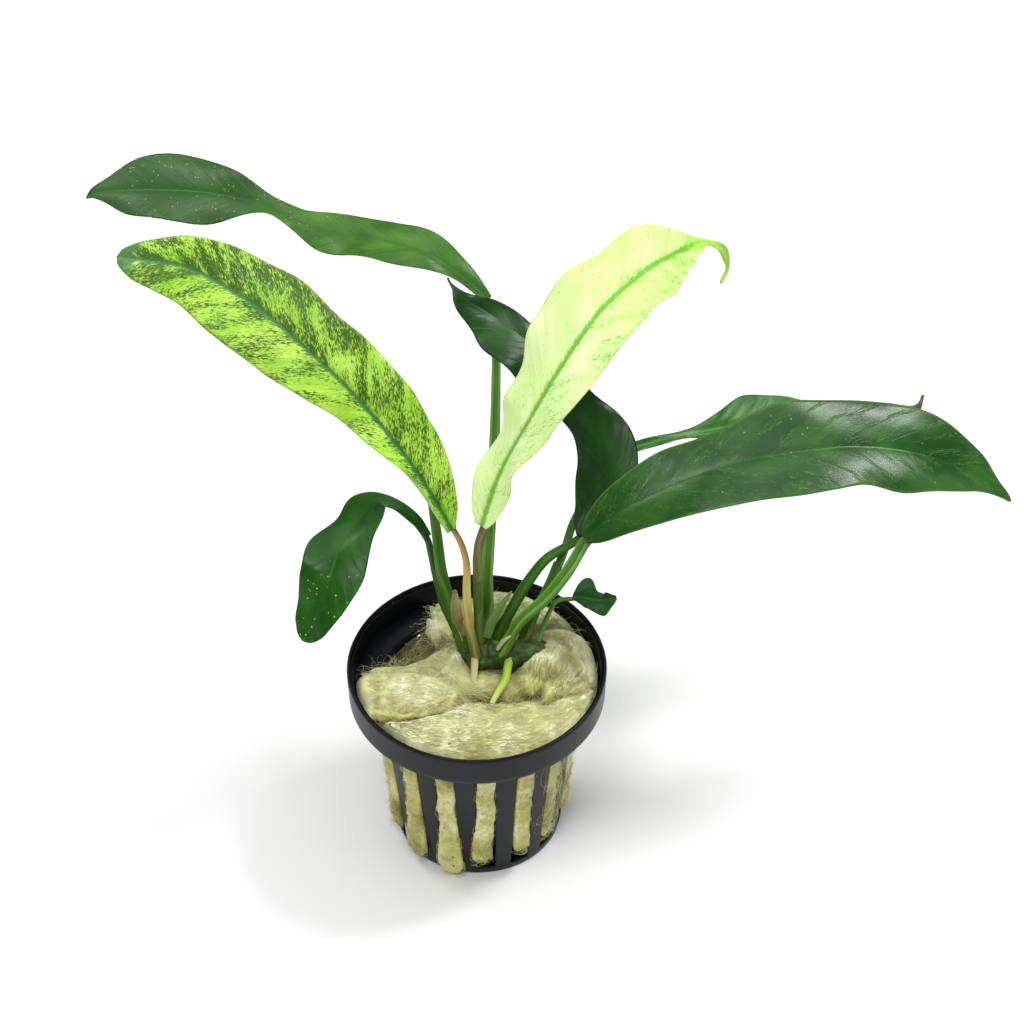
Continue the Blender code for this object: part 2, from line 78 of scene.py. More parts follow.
class SmoothTable:
    """Numbers or vectors that change smoothly between the shares where they are given."""

    def __init__(self, shares: Sequence[float], values: Sequence[Value]) -> None:
        """Work out the slope at each entry from its neighbours.

        Args:
            shares: rising shares of a length, from 0 to 1.
            values: the number or vector at each share.
        """
        self.shares = list(shares)
        self.values = list(values)
        last = len(self.values) - 1
        self.slopes = []
        for index in range(last + 1):
            low = max(index - 1, 0)
            high = min(index + 1, last)
            rise = self.values[high] - self.values[low]
            self.slopes.append(rise / (self.shares[high] - self.shares[low]))

    def at(self, share: float) -> Value:
        """The value at a share.

        Args:
            share: where along the length, from 0 to 1.

        Returns:
            The number or vector there.
        """
        index = 0
        while index < len(self.shares) - 2 and share > self.shares[index + 1]:
            index += 1
        span = self.shares[index + 1] - self.shares[index]
        u = (share - self.shares[index]) / span
        return (self.values[index] * (2 * u ** 3 - 3 * u ** 2 + 1)
                + self.slopes[index] * (span * (u ** 3 - 2 * u ** 2 + u))
                + self.values[index + 1] * (3 * u ** 2 - 2 * u ** 3)
                + self.slopes[index + 1] * (span * (u ** 3 - u ** 2)))


def table_of(stops: Stops) -> SmoothTable:
    """A smooth table from (share, value) stops."""
    return SmoothTable([stop[0] for stop in stops], [stop[1] for stop in stops])


class Spine:
    """A smooth curve through points, which gives its place and directions at a share."""

    STEP = 0.002

    def __init__(self, path: Sequence[Sequence[float]]) -> None:
        """Measure the path.

        Args:
            path: the points that the curve passes through, in millimetres.
        """
        points = [Vector(point) for point in path]
        lengths = [0.0]
        for before, after in zip(points, points[1:]):
            lengths.append(lengths[-1] + (after - before).length)
        self.length = lengths[-1]
        self.table = SmoothTable([length / self.length for length in lengths], points)

    def at(self, share: float) -> Vector:
        """The point at a share of the length."""
        return self.table.at(share)

    def along(self, share: float) -> Vector:
        """The direction of travel at a share of the length."""
        ahead = self.at(min(share + self.STEP, 1.0))
        behind = self.at(max(share - self.STEP, 0.0))
        return (ahead - behind).normalized()

    def directions(self, share: float, roll: float) -> tuple[Vector, Vector]:
        """The side and face directions, where the face looks up before it rolls.

        Args:
            share: where along the length, from 0 to 1.
            roll: the sideways tilt in degrees.

        Returns:
            The unit vectors to the side and out of the face.
        """
        along = self.along(share)
        side = along.cross(Vector((0, 0, 1))).normalized()
        face = side.cross(along)
        turn = Matrix.Rotation(-math.radians(roll), 3, along)
        return turn @ side, turn @ face


def ease(value: float, low: float, high: float) -> float:
    """A smooth step from 0 at low to 1 at high."""
    u = min(max((value - low) / (high - low), 0.0), 1.0)
    return u * u * (3 - 2 * u)


# ---- Shader maths


class Number:
    """A number in a material's node tree, which takes Python's own operators."""

    def __init__(self, shade: "Shade", socket: bpy.types.NodeSocket) -> None:
        """Wrap an output socket of the shade's node tree."""
        self.shade = shade
        self.socket = socket

    def _math(self, operation: str, first: "Amount", second: "Amount") -> "Number":
        """Add a Math node for two numbers."""
        made = self.shade.node("ShaderNodeMath", {"operation": operation}, {0: first, 1: second})
        return Number(self.shade, made.outputs[0])

    def __add__(self, other: "Amount") -> "Number":
        """This number plus another."""
        return self._math("ADD", self, other)

    def __radd__(self, other: "Amount") -> "Number":
        """Another number plus this one."""
        return self._math("ADD", other, self)

    def __sub__(self, other: "Amount") -> "Number":
        """This number less another."""
        return self._math("SUBTRACT", self, other)

    def __rsub__(self, other: "Amount") -> "Number":
        """Another number less this one."""
        return self._math("SUBTRACT", other, self)

    def __mul__(self, other: "Amount") -> "Number":
        """This number times another."""
        return self._math("MULTIPLY", self, other)

    def __rmul__(self, other: "Amount") -> "Number":
        """Another number times this one."""
        return self._math("MULTIPLY", other, self)

    def __abs__(self) -> "Number":
        """This number without its sign."""
        return self._math("ABSOLUTE", self, 0.0)

    def sine(self) -> "Number":
        """The sine of an angle in radians."""
        return self._math("SINE", self, 0.0)


Amount = Union[Number, float]
Tint = Union[bpy.types.NodeSocket, tuple]


class Shade:
    """A material in the making: its node tree, its shader and the nodes that feed it."""

    MIX_FACTOR = 0
    MIX_FIRST = 6
    MIX_SECOND = 7
    MIX_RESULT = 2

    def __init__(self, name: str) -> None:
        """Start a Principled material with a name."""
        self.material = bpy.data.materials.new(name)
        self.material.use_nodes = True
        self.tree = self.material.node_tree
        self.shader = self.tree.nodes["Principled BSDF"]

    def node(self, kind: str, settings: dict, inputs: dict) -> bpy.types.Node:
        """Add a node, whose settings are set before its sockets.

        Args:
            kind: the node's type.
            settings: its own settings; a ramp's stops are (place, colour) pairs.
            inputs: a value, Number or socket for each named or numbered input.

        Returns:
            The node.
        """
        made = self.tree.nodes.new(kind)
        for name, value in settings.items():
            if name == "stops":
                self._set_stops(made.color_ramp.elements, value)
            else:
                setattr(made, name, value)
        for key, value in inputs.items():
            self._feed(made.inputs[key], value)
        return made

    def _set_stops(self, elements: bpy.types.ColorRampElements, stops: Sequence) -> None:
        """Give a ramp its (place, colour) stops."""
        while len(elements) < len(stops):
            elements.new(1.0)
        for element, (place, colour) in zip(elements, stops):
            element.position = place
            element.color = (*colour, 1.0)

    def _feed(self, socket: bpy.types.NodeSocket, value: Union[Amount, Tint]) -> None:
        """Link a value's socket to an input, or set the input to a constant."""
        source = value.socket if isinstance(value, Number) else value
        if isinstance(source, bpy.types.NodeSocket):
            self.tree.links.new(source, socket)
        elif isinstance(source, tuple) and socket.type == "RGBA":
            socket.default_value = (*source, 1.0)
        else:
            socket.default_value = source

    def object_place(self) -> bpy.types.NodeSocket:
        """The place on the piece, in metres."""
        return self.node("ShaderNodeTexCoord", {}, {}).outputs["Object"]

    def flat_place(self, layer: str) -> tuple[Number, Number]:
        """The two coordinates of a UV map of the piece's own.

        Args:
            layer: the UV map's name.

        Returns:
            The map's first and second coordinate.
        """
        mapped = self.node("ShaderNodeUVMap", {"uv_map": layer}, {})
        parts = self.node("ShaderNodeSeparateXYZ", {}, {0: mapped.outputs[0]})
        return Number(self, parts.outputs[0]), Number(self, parts.outputs[1])

    def attribute(self, name: str) -> Number:
        """A number that the mesh holds at each point."""
        made = self.node("ShaderNodeAttribute", {"attribute_name": name}, {})
        return Number(self, made.outputs["Fac"])

    def vector(self, x: Amount, y: Amount, z: Amount = 0.0) -> bpy.types.NodeSocket:
        """A vector from three numbers."""
        return self.node("ShaderNodeCombineXYZ", {}, {0: x, 1: y, 2: z}).outputs[0]

    def stretched(self, vector: bpy.types.NodeSocket, scale: Point) -> bpy.types.NodeSocket:
        """A vector scaled along each axis."""
        return self.node("ShaderNodeMapping", {}, {"Vector": vector, "Scale": scale}).outputs[0]

    def noise(self, vector: bpy.types.NodeSocket, scale: float, detail: float = 2.0,
              roughness: float = 0.5, distortion: float = 0.0) -> Number:
        """Smooth noise from 0 to 1.

        Args:
            vector: where it is read.
            scale: how many features there are to one unit.
            detail: how many finer layers it has.
            roughness: how strong the finer layers are.
            distortion: how much it swirls.

        Returns:
            The noise.
        """
        made = self.node("ShaderNodeTexNoise", {}, {
            "Vector": vector, "Scale": scale, "Detail": detail, "Roughness": roughness,
            "Distortion": distortion})
        return Number(self, made.outputs["Fac"])

    def cells(self, vector: bpy.types.NodeSocket, scale: float) -> tuple[Number, Number]:
        """Scattered cells.

        Args:
            vector: where they are read.
            scale: how many cells there are to one unit.

        Returns:
            The distance to the nearest cell's centre, and a random number of that cell.
        """
        made = self.node("ShaderNodeTexVoronoi", {}, {"Vector": vector, "Scale": scale})
        parts = self.node("ShaderNodeSeparateXYZ", {}, {0: made.outputs["Color"]})
        return Number(self, made.outputs["Distance"]), Number(self, parts.outputs[0])

    def rise(self, value: Amount, low: float, high: float) -> Number:
        """A smooth step from 0 at low to 1 at high."""
        made = self.node("ShaderNodeMapRange", {"interpolation_type": "SMOOTHSTEP"},
                         {"Value": value, "From Min": low, "From Max": high})
        return Number(self, made.outputs[0])

    def mix(self, amount: Amount, first: Tint, second: Tint) -> bpy.types.NodeSocket:
        """A colour between two colours."""
        made = self.node("ShaderNodeMix", {"data_type": "RGBA"}, {
            self.MIX_FACTOR: amount, self.MIX_FIRST: first, self.MIX_SECOND: second})
        return made.outputs[self.MIX_RESULT]

    def ramp(self, value: Amount, stops: Sequence[tuple[float, Rgb]]) -> bpy.types.NodeSocket:
        """A colour that runs through (place, colour) stops."""
        return self.node("ShaderNodeValToRGB", {"stops": stops}, {0: value}).outputs[0]

    def bump(self, height: Amount, distance: float, strength: float) -> bpy.types.NodeSocket:
        """A surface normal tilted by a height from 0 to 1 that stands for a distance in metres."""
        made = self.node("ShaderNodeBump", {}, {
            "Strength": strength, "Distance": distance, "Height": height})
        return made.outputs[0]

    def dress(self, varying: dict, constants: dict) -> bpy.types.Material:
        """Feed the shader.

        Args:
            varying: what changes over the surface, by socket name.
            constants: what is the same all over it, by socket name.

        Returns:
            The finished material.
        """
        for name, value in {**constants, **varying}.items():
            self._feed(self.shader.inputs[name], value)
        return self.material


# ---- Finishes


class Side(Enum):
    """The two sides of a leaf."""

    UPPER = "upper"
    UNDER = "under"


@dataclass(frozen=True)
class LeafFinish:
    """The finish of a leaf, whose pattern follows its midrib and its side veins."""

    name: str
    deep: Rgb
    light: Rgb
    midrib: Rgb
    vein: Rgb
    under: Rgb
    midrib_width: float = 0.5
    midrib_strength: float = 0.8
    midrib_halo: float = 0.0
    midrib_break: float = 0.0
    vein_strength: float = 0.25
    vein_spacing: float = 3.4
    vein_lean: float = 1.1
    streaks: float = 0.35
    mottle: Rgb = (0.0, 0.0, 0.0)
    mottle_cover: float = 0.0
    mottle_to_tip: float = 0.0
    mottle_to_left: float = 0.0
    outer: Rgb = (0.0, 0.0, 0.0)
    outer_start: float = 0.5
    outer_strength: float = 0.0
    fleck: Rgb = (0.5, 0.7, 0.4)
    fleck_cover: float = 0.0
    fleck_start: float = 0.0
    tip: Rgb = (0.2, 0.1, 0.03)
    tip_start: float = 0.985
    rim: Rgb = (0.5, 0.6, 0.2)
    rim_strength: float = 0.0
    roughness: float = 0.36
    shine: float = 0.34
    subsurface: float = 0.05

    def make(self, side: Side) -> bpy.types.Material:
        """Make the material of one side of the leaf.

        Args:
            side: the leaf's side.

        Returns:
            The material.
        """
        shade = Shade(f"{self.name}_{side.value}")
        across, along = shade.flat_place("leaf_mm")
        edge, share = shade.flat_place("leaf")
        away = abs(across)
        lean = along - away * self.vein_lean
        patch = shade.noise(shade.vector(across * 0.11, along * 0.07), 1.0, 3.0)
        streak = shade.noise(shade.vector(lean * 0.9, across * 0.16), 1.0, 5.0, 0.6)
        tone = shade.rise(patch * (1 - self.streaks) + streak * self.streaks, 0.36, 0.66)
        colour = shade.mix(tone, self.deep, self.light)
        if self.outer_strength > 0:
            outer = shade.rise(share, self.outer_start, self.outer_start + 0.15)
            colour = shade.mix(outer * self.outer_strength, colour, self.outer)
        wave = (lean * (FULL_TURN / self.vein_spacing) + patch * 9.0 + streak * 3.0).sine()
        vein = shade.rise(wave, 0.7, 1.0) * shade.rise(away, 0.3, 2.0)
        vein = vein * shade.rise(streak, 0.42, 0.62)
        colour = shade.mix(vein * self.vein_strength, colour, self.vein)
        if self.mottle_cover != 0:
            colour = shade.mix(self._mottles(shade, lean, across, share), colour, self.mottle)
        if self.midrib_halo > 0:
            halo = 1 - shade.rise(away + streak * 1.6, 0.8, 0.8 + self.midrib_halo)
            colour = shade.mix(halo * 0.55, colour, self.midrib)
        rib = 1 - shade.rise(away + (streak - 0.5) * self.midrib_break, self.midrib_width * 0.35,
                             self.midrib_width)
        colour = shade.mix(rib * self.midrib_strength, colour, self.midrib)
        if self.fleck_cover > 0:
            colour = shade.mix(self._flecks(shade, across, along, share), colour, self.fleck)
        if self.rim_strength > 0:
            rim = shade.rise(abs(edge), 0.93, 0.995)
            colour = shade.mix(rim * self.rim_strength, colour, self.rim)
        tip = shade.rise(share + (streak - 0.5) * 0.12, self.tip_start, self.tip_start + 0.04)
        colour = shade.mix(tip, colour, self.tip)
        grain = shade.noise(shade.vector(across, along), 3.5, 3.0, 0.6)
        gloss = grain * 0.12 + patch * 0.14 + (self.roughness - 0.13)
        if side is Side.UNDER:
            colour = shade.mix(0.6, colour, self.under)
            gloss = gloss + 0.15
        relief = grain * 0.35 + streak * self.streaks + vein * 0.5
        return shade.dress(
            {"Base Color": colour, "Roughness": gloss, "Normal": shade.bump(relief, 0.00012, 0.6)},
            {"Subsurface Weight": self.subsurface, "Subsurface Scale": SKIN_GLOW_DEPTH,
             "IOR": SKIN_IOR, "Specular IOR Level": self.shine})

    def _mottles(self, shade: Shade, lean: Number, across: Number, share: Number) -> Number:
        """The mask of the dark mottles, streaked along the side veins.

        Args:
            shade: the material in the making.
            lean: the place measured across the side veins.
            across: the distance from the midrib, negative on the left.
            share: the share of the leaf's length.

        Returns:
            The mask, 1 where the mottles are.
        """
        coarse = shade.noise(shade.vector(lean * 0.26, across * 0.17), 1.0, 3.0, 0.6, 0.5)
        fine = shade.noise(shade.vector(lean * 2.9, across * 1.45), 1.0, 4.0, 0.74, 0.35)
        dense = shade.rise(coarse, 0.34, 0.66) * 0.16 + self.mottle_cover
        dense = dense + shade.rise(share, 0.25, 0.9) * self.mottle_to_tip
        dense = dense + shade.rise(0 - across, -2.0, 4.0) * self.mottle_to_left
        return shade.rise(fine + dense, 0.655, 0.735)

    def _flecks(self, shade: Shade, across: Number, along: Number, share: Number) -> Number:
        """The mask of the small pale flecks."""
        near, chance = shade.cells(shade.vector(across, along), 0.85)
        spot = 1 - shade.rise(near, 0.08, 0.17)
        chosen = shade.rise(chance, 1 - self.fleck_cover, 1.001 - self.fleck_cover)
        return spot * chosen * shade.rise(share, self.fleck_start, self.fleck_start + 0.15)


@dataclass(frozen=True)
class StemFinish:
    """Stem or root finish: colour stops from foot to top, painted highlights on the channel's lips.
    """

    name: str
    stops: tuple[tuple[float, Rgb], ...]
    # The edge colour is a painted highlight along the lips of the channel.
    edge: Rgb = (0.2, 0.4, 0.12)
    lip_highlight_strength: float = 0.0
    roughness: float = 0.42
    # How strongly the fibre grooves are darkened with painted shade.
    fibre: float = 0.3

    def make(self) -> bpy.types.Material:
        """Make the stem's material."""
        shade = Shade(self.name)
        around, share = shade.flat_place("stem")
        girth, along = shade.flat_place("stem_mm")
        stripe = shade.noise(shade.vector(girth * 2.2, along * 0.16), 1.0, 4.0, 0.6)
        cloud = shade.noise(shade.vector(girth * 0.3, along * 0.2), 1.0, 3.0)
        colour = shade.ramp(share, self.stops)
        # Painted shade: darker toward the shadow colour where the fibre stripes sink in the bump.
        shadow = shade.mix(0.55, colour, (0.01, 0.02, 0.005))
        colour = shade.mix(shade.rise(stripe + cloud * 0.5, 0.9, 0.5) * self.fibre, colour, shadow)
        # Painted highlight: a lighter band along both lips of the upper channel.
        if self.lip_highlight_strength > 0:
            lip_highlight = shade.rise(abs(around - 0.5), 0.05, 0.13)
            lip_highlight = lip_highlight - shade.rise(abs(around - 0.5), 0.15, 0.24)
            colour = shade.mix(lip_highlight * self.lip_highlight_strength, colour, self.edge)
        return shade.dress(
            {"Base Color": colour, "Roughness": cloud * 0.2 + (self.roughness - 0.1),
             "Normal": shade.bump(stripe, 0.0001, 0.5)},
            {"Subsurface Weight": 0.08, "Subsurface Scale": SKIN_GLOW_DEPTH, "IOR": SKIN_IOR,
             "Specular IOR Level": 0.32})


@dataclass(frozen=True)
class RhizomeFinish:
    """The finish of the rhizome: dark green skin with brown ring scars."""

    skin: tuple[tuple[float, Rgb], ...] = ((0.3, (0.012, 0.030, 0.006)),
                                           (0.5, (0.040, 0.085, 0.014)),
                                           (0.75, (0.15, 0.20, 0.040)))
    scar: Rgb = (0.07, 0.06, 0.018)

    def make(self) -> bpy.types.Material:
        """Make the rhizome's material."""
        shade = Shade("rhizome_skin")
        mottle = shade.noise(shade.object_place(), 420.0, 5.0, 0.6)
        scar = shade.attribute("scar")
        colour = shade.mix(scar * 0.25, shade.ramp(mottle, self.skin), self.scar)
        return shade.dress(
            {"Base Color": colour, "Roughness": mottle * 0.3 + 0.4,
             "Normal": shade.bump(mottle - scar * 0.5, 0.0003, 0.7)},
            {"IOR": 1.42})


@dataclass(frozen=True)
class WoolFinish:
    """Stone wool finish: combed, stained yellow, painted shade in creases, painted sheen on crests.
    """

    name: str
    grain_layer: str
    # white is the colour of the painted sheen on the crests.
    white: Rgb = (0.92, 0.95, 0.76)
    cream: Rgb = (0.82, 0.83, 0.46)
    yellow: Rgb = (0.62, 0.61, 0.17)
    olive: Rgb = (0.27, 0.22, 0.04)
    # dark serves both the painted shade deep in the creases and the real grit specks.
    dark: Rgb = (0.040, 0.028, 0.010)

    def make(self) -> bpy.types.Material:
        """Make the wool's material."""
        shade = Shade(self.name)
        place = shade.object_place()
        cloud = shade.noise(place, 110.0, 4.0, 0.55, 0.6)
        patchy = shade.noise(place, 420.0, 3.0, 0.6, 0.4)
        if self.grain_layer:
            along, away = shade.flat_place(self.grain_layer)
            fibre = shade.noise(shade.vector(along * 0.16, away * 1.1), 1.0, 5.0, 0.55, 0.3)
            relief = 0.00016
        else:
            fibre = shade.noise(shade.stretched(place, (1.0, 1.0, 1.4)), 800.0, 6.0, 0.7, 0.8)
            relief = 0.0003
        # The hollow attribute is painted shade: creases, the back pocket, the plug's sides and the
        # tongues' ends.
        hollow = shade.attribute("hollow")
        stain = shade.attribute("stain")
        gleam = shade.attribute("gleam")
        tone = cloud * 0.7 + fibre * 0.2 + patchy * 0.25
        # The gleam attribute is a painted highlight on the lit crests: it keeps them cream.
        colour = shade.mix(shade.rise(tone + stain * 0.35 - gleam * 0.10, 0.46, 0.70), self.cream,
                           self.yellow)
        # Painted sheen: the lit crests whiten along the fibres.
        painted_sheen = gleam * shade.rise(fibre + patchy * 0.3, 0.95, 0.50) * 0.9
        colour = shade.mix(painted_sheen, colour, self.white)
        # Real stains and painted shade: olive where stained and in the creases, less on the painted
        # crest highlights.
        olive_stain_and_shade = hollow * 0.9 + stain * 0.80 - gleam * 0.3 + (tone - 0.56) * 1.8
        colour = shade.mix(shade.rise(olive_stain_and_shade, 0.34, 0.92), colour, self.olive)
        # Painted shade: near black deep in the creases, a little more where stained.
        deep = shade.rise(hollow + stain * 0.3 + (fibre - 0.5) * 0.4, 0.60, 1.0)
        colour = shade.mix(deep, colour, self.dark)
        near, chance = shade.cells(place, 560.0)
        grit = (1 - shade.rise(near, 0.10, 0.28)) * shade.rise(chance + stain * 0.25, 1.04, 1.05)
        colour = shade.mix(grit * 0.85, colour, self.dark)
        return shade.dress(
            {"Base Color": colour, "Roughness": fibre * 0.15 + 0.78,
             "Normal": shade.bump(fibre, relief, 0.8)},
            {"Sheen Weight": 0.25, "Specular IOR Level": 0.2, "Subsurface Weight": 0.2,
             "Subsurface Scale": 0.0012})


@dataclass(frozen=True)
class FibreFinish:
    """Loose wool fibres' finish: each its own tint between two colours, painted shade in creases.
    """

    name: str
    dull: Rgb = (0.66, 0.67, 0.25)
    bright: Rgb = (0.92, 0.93, 0.64)
    olive: Rgb = (0.38, 0.33, 0.07)
    # dark is the painted shade of the fibres that lie in creases.
    dark: Rgb = (0.15, 0.12, 0.035)

    def make(self) -> bpy.types.Material:
        """Make the fibres' material."""
        shade = Shade(self.name)
        hollow = shade.attribute("hollow")
        colour = shade.mix(shade.attribute("tint"), self.dull, self.bright)
        colour = shade.mix(shade.attribute("stain") * 0.8, colour, self.olive)
        # Painted shade: fibres in creases are darkened.
        colour = shade.mix(shade.rise(hollow, 0.3, 0.9) * 0.8, colour, self.dark)
        return shade.dress({"Base Color": colour}, {"Roughness": 0.6, "Specular IOR Level": 0.3})


@dataclass(frozen=True)
class PlasticFinish:
    """The finish of the black pot: moulded plastic with faint scuffs and dust."""

    black: Rgb = (0.0035, 0.004, 0.006)
    worn: Rgb = (0.011, 0.014, 0.022)
    dust: Rgb = (0.22, 0.22, 0.19)

    def make(self) -> bpy.types.Material:
        """Make the pot's material."""
        shade = Shade("pot_black")
        place = shade.object_place()
        cloud = shade.noise(place, 70.0, 4.0, 0.6)
        scuff = shade.noise(shade.stretched(place, (1.0, 1.0, 9.0)), 160.0, 5.0, 0.75, 0.4)
        near, chance = shade.cells(place, 700.0)
        grain = shade.noise(place, 2600.0, 3.0, 0.6)
        wear = shade.rise(scuff, 0.55, 0.75)
        colour = shade.mix(shade.rise(cloud, 0.4, 0.7) * 0.5 + wear * 0.35, self.black, self.worn)
        fleck = (1 - shade.rise(near, 0.08, 0.20)) * shade.rise(chance, 0.955, 0.96)
        colour = shade.mix(fleck * 0.6, colour, self.dust)
        return shade.dress(
            {"Base Color": colour, "Roughness": cloud * 0.16 + wear * 0.18 + 0.30,
             "Normal": shade.bump(grain * 0.6 + scuff * 0.4, 0.00006, 0.5)},
            {"IOR": 1.45, "Specular IOR Level": 0.26})


# ---- Pieces


def centre_of(low: Sequence[float], high: Sequence[float]) -> Vector:
    """The middle between two corners."""
    return (Vector(low) + Vector(high)) / 2


def polar(radius: float, angle: float, z: float = 0.0) -> Vector:
    """The point at a radius, an angle in radians and a height, around the pot's axis."""
    return Vector((radius * math.cos(angle), radius * math.sin(angle), z))


def join_seams(form: bmesh.types.BMesh, gap: float = MERGE) -> None:
    """Merge the doubled points of a rolled-up sheet and turn its faces outwards."""
    bmesh.ops.remove_doubles(form, verts=form.verts, dist=gap)
    bmesh.ops.recalc_face_normals(form, faces=form.faces)


def write_maps(form: bmesh.types.BMesh, names: Sequence[str], marks: dict) -> None:
    """Make UV maps from each point's own coordinates.

    Args:
        form: the bmesh.
        names: the UV maps' names.
        marks: a pair of coordinates for each map, by point.
    """
    layers = [form.loops.layers.uv.new(name) for name in names]
    for face in form.faces:
        for loop in face.loops:
            for layer, place in zip(layers, marks[loop.vert]):
                loop[layer].uv = place


def cut_grid(columns: int, rows: int,
             is_hole: Callable[[int, int], bool]) -> tuple[bmesh.types.BMesh, dict]:
    """Lay a flat grid and take the faces of its holes away.

    Args:
        columns: how many faces it is wide.
        rows: how many faces it is high.
        is_hole: whether the face at a column and a row is part of a hole.

    Returns:
        The bmesh, and each point's column and row.
    """
    form = bmesh.new()
    bmesh.ops.create_grid(form, x_segments=columns, y_segments=rows, size=0.5)
    doomed = []
    for face in form.faces:
        middle = face.calc_center_median()
        if is_hole(int((middle.x + 0.5) * columns), int((middle.y + 0.5) * rows)):
            doomed.append(face)
    bmesh.ops.delete(form, geom=doomed, context="FACES")
    return form, {vertex: (round((vertex.co.x + 0.5) * columns), round((vertex.co.y + 0.5) * rows))
                  for vertex in form.verts}


def link(name: str, data: bpy.types.ID) -> bpy.types.Object:
    """Link a new object that holds some data."""
    made = bpy.data.objects.new(name, data)
    bpy.context.scene.collection.objects.link(made)
    return made


def piece_name(node: str) -> str:
    """A piece's name: the words of its node's name the other way round."""
    return "_".join(reversed(node.split("_")))


def hand_over(form: bmesh.types.BMesh, name: str, materials: Sequence[bpy.types.Material],
              nodes: Sequence[str], slot: str) -> bpy.types.Object:
    """Turn a bmesh into a smooth piece, put in place as the next function says, and free it."""
    mesh = bpy.data.meshes.new(name)
    form.to_mesh(mesh)
    form.free()
    mesh.shade_smooth()
    return put_in_place(mesh, name, materials, nodes, slot)


def put_in_place(mesh: bpy.types.Mesh, name: str, materials: Sequence[bpy.types.Material],
                 nodes: Sequence[str], slot: str) -> bpy.types.Object:
    """Link a mesh as a piece that rides on the frame.

    Args:
        mesh: the piece's mesh, in place.
        name: the piece's name.
        materials: its materials, in the order of its faces' material numbers.
        nodes: the frame's nodes that it stands for.
        slot: the record's material slot; not used.

    Returns:
        The piece's object.
    """
    piece = link(name, mesh)
    for material in materials:
        mesh.materials.append(material)
    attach(piece, BODY)
    if nodes:
        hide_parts(*nodes)
    log.info("%s: %d faces", name, len(mesh.polygons))
    return piece


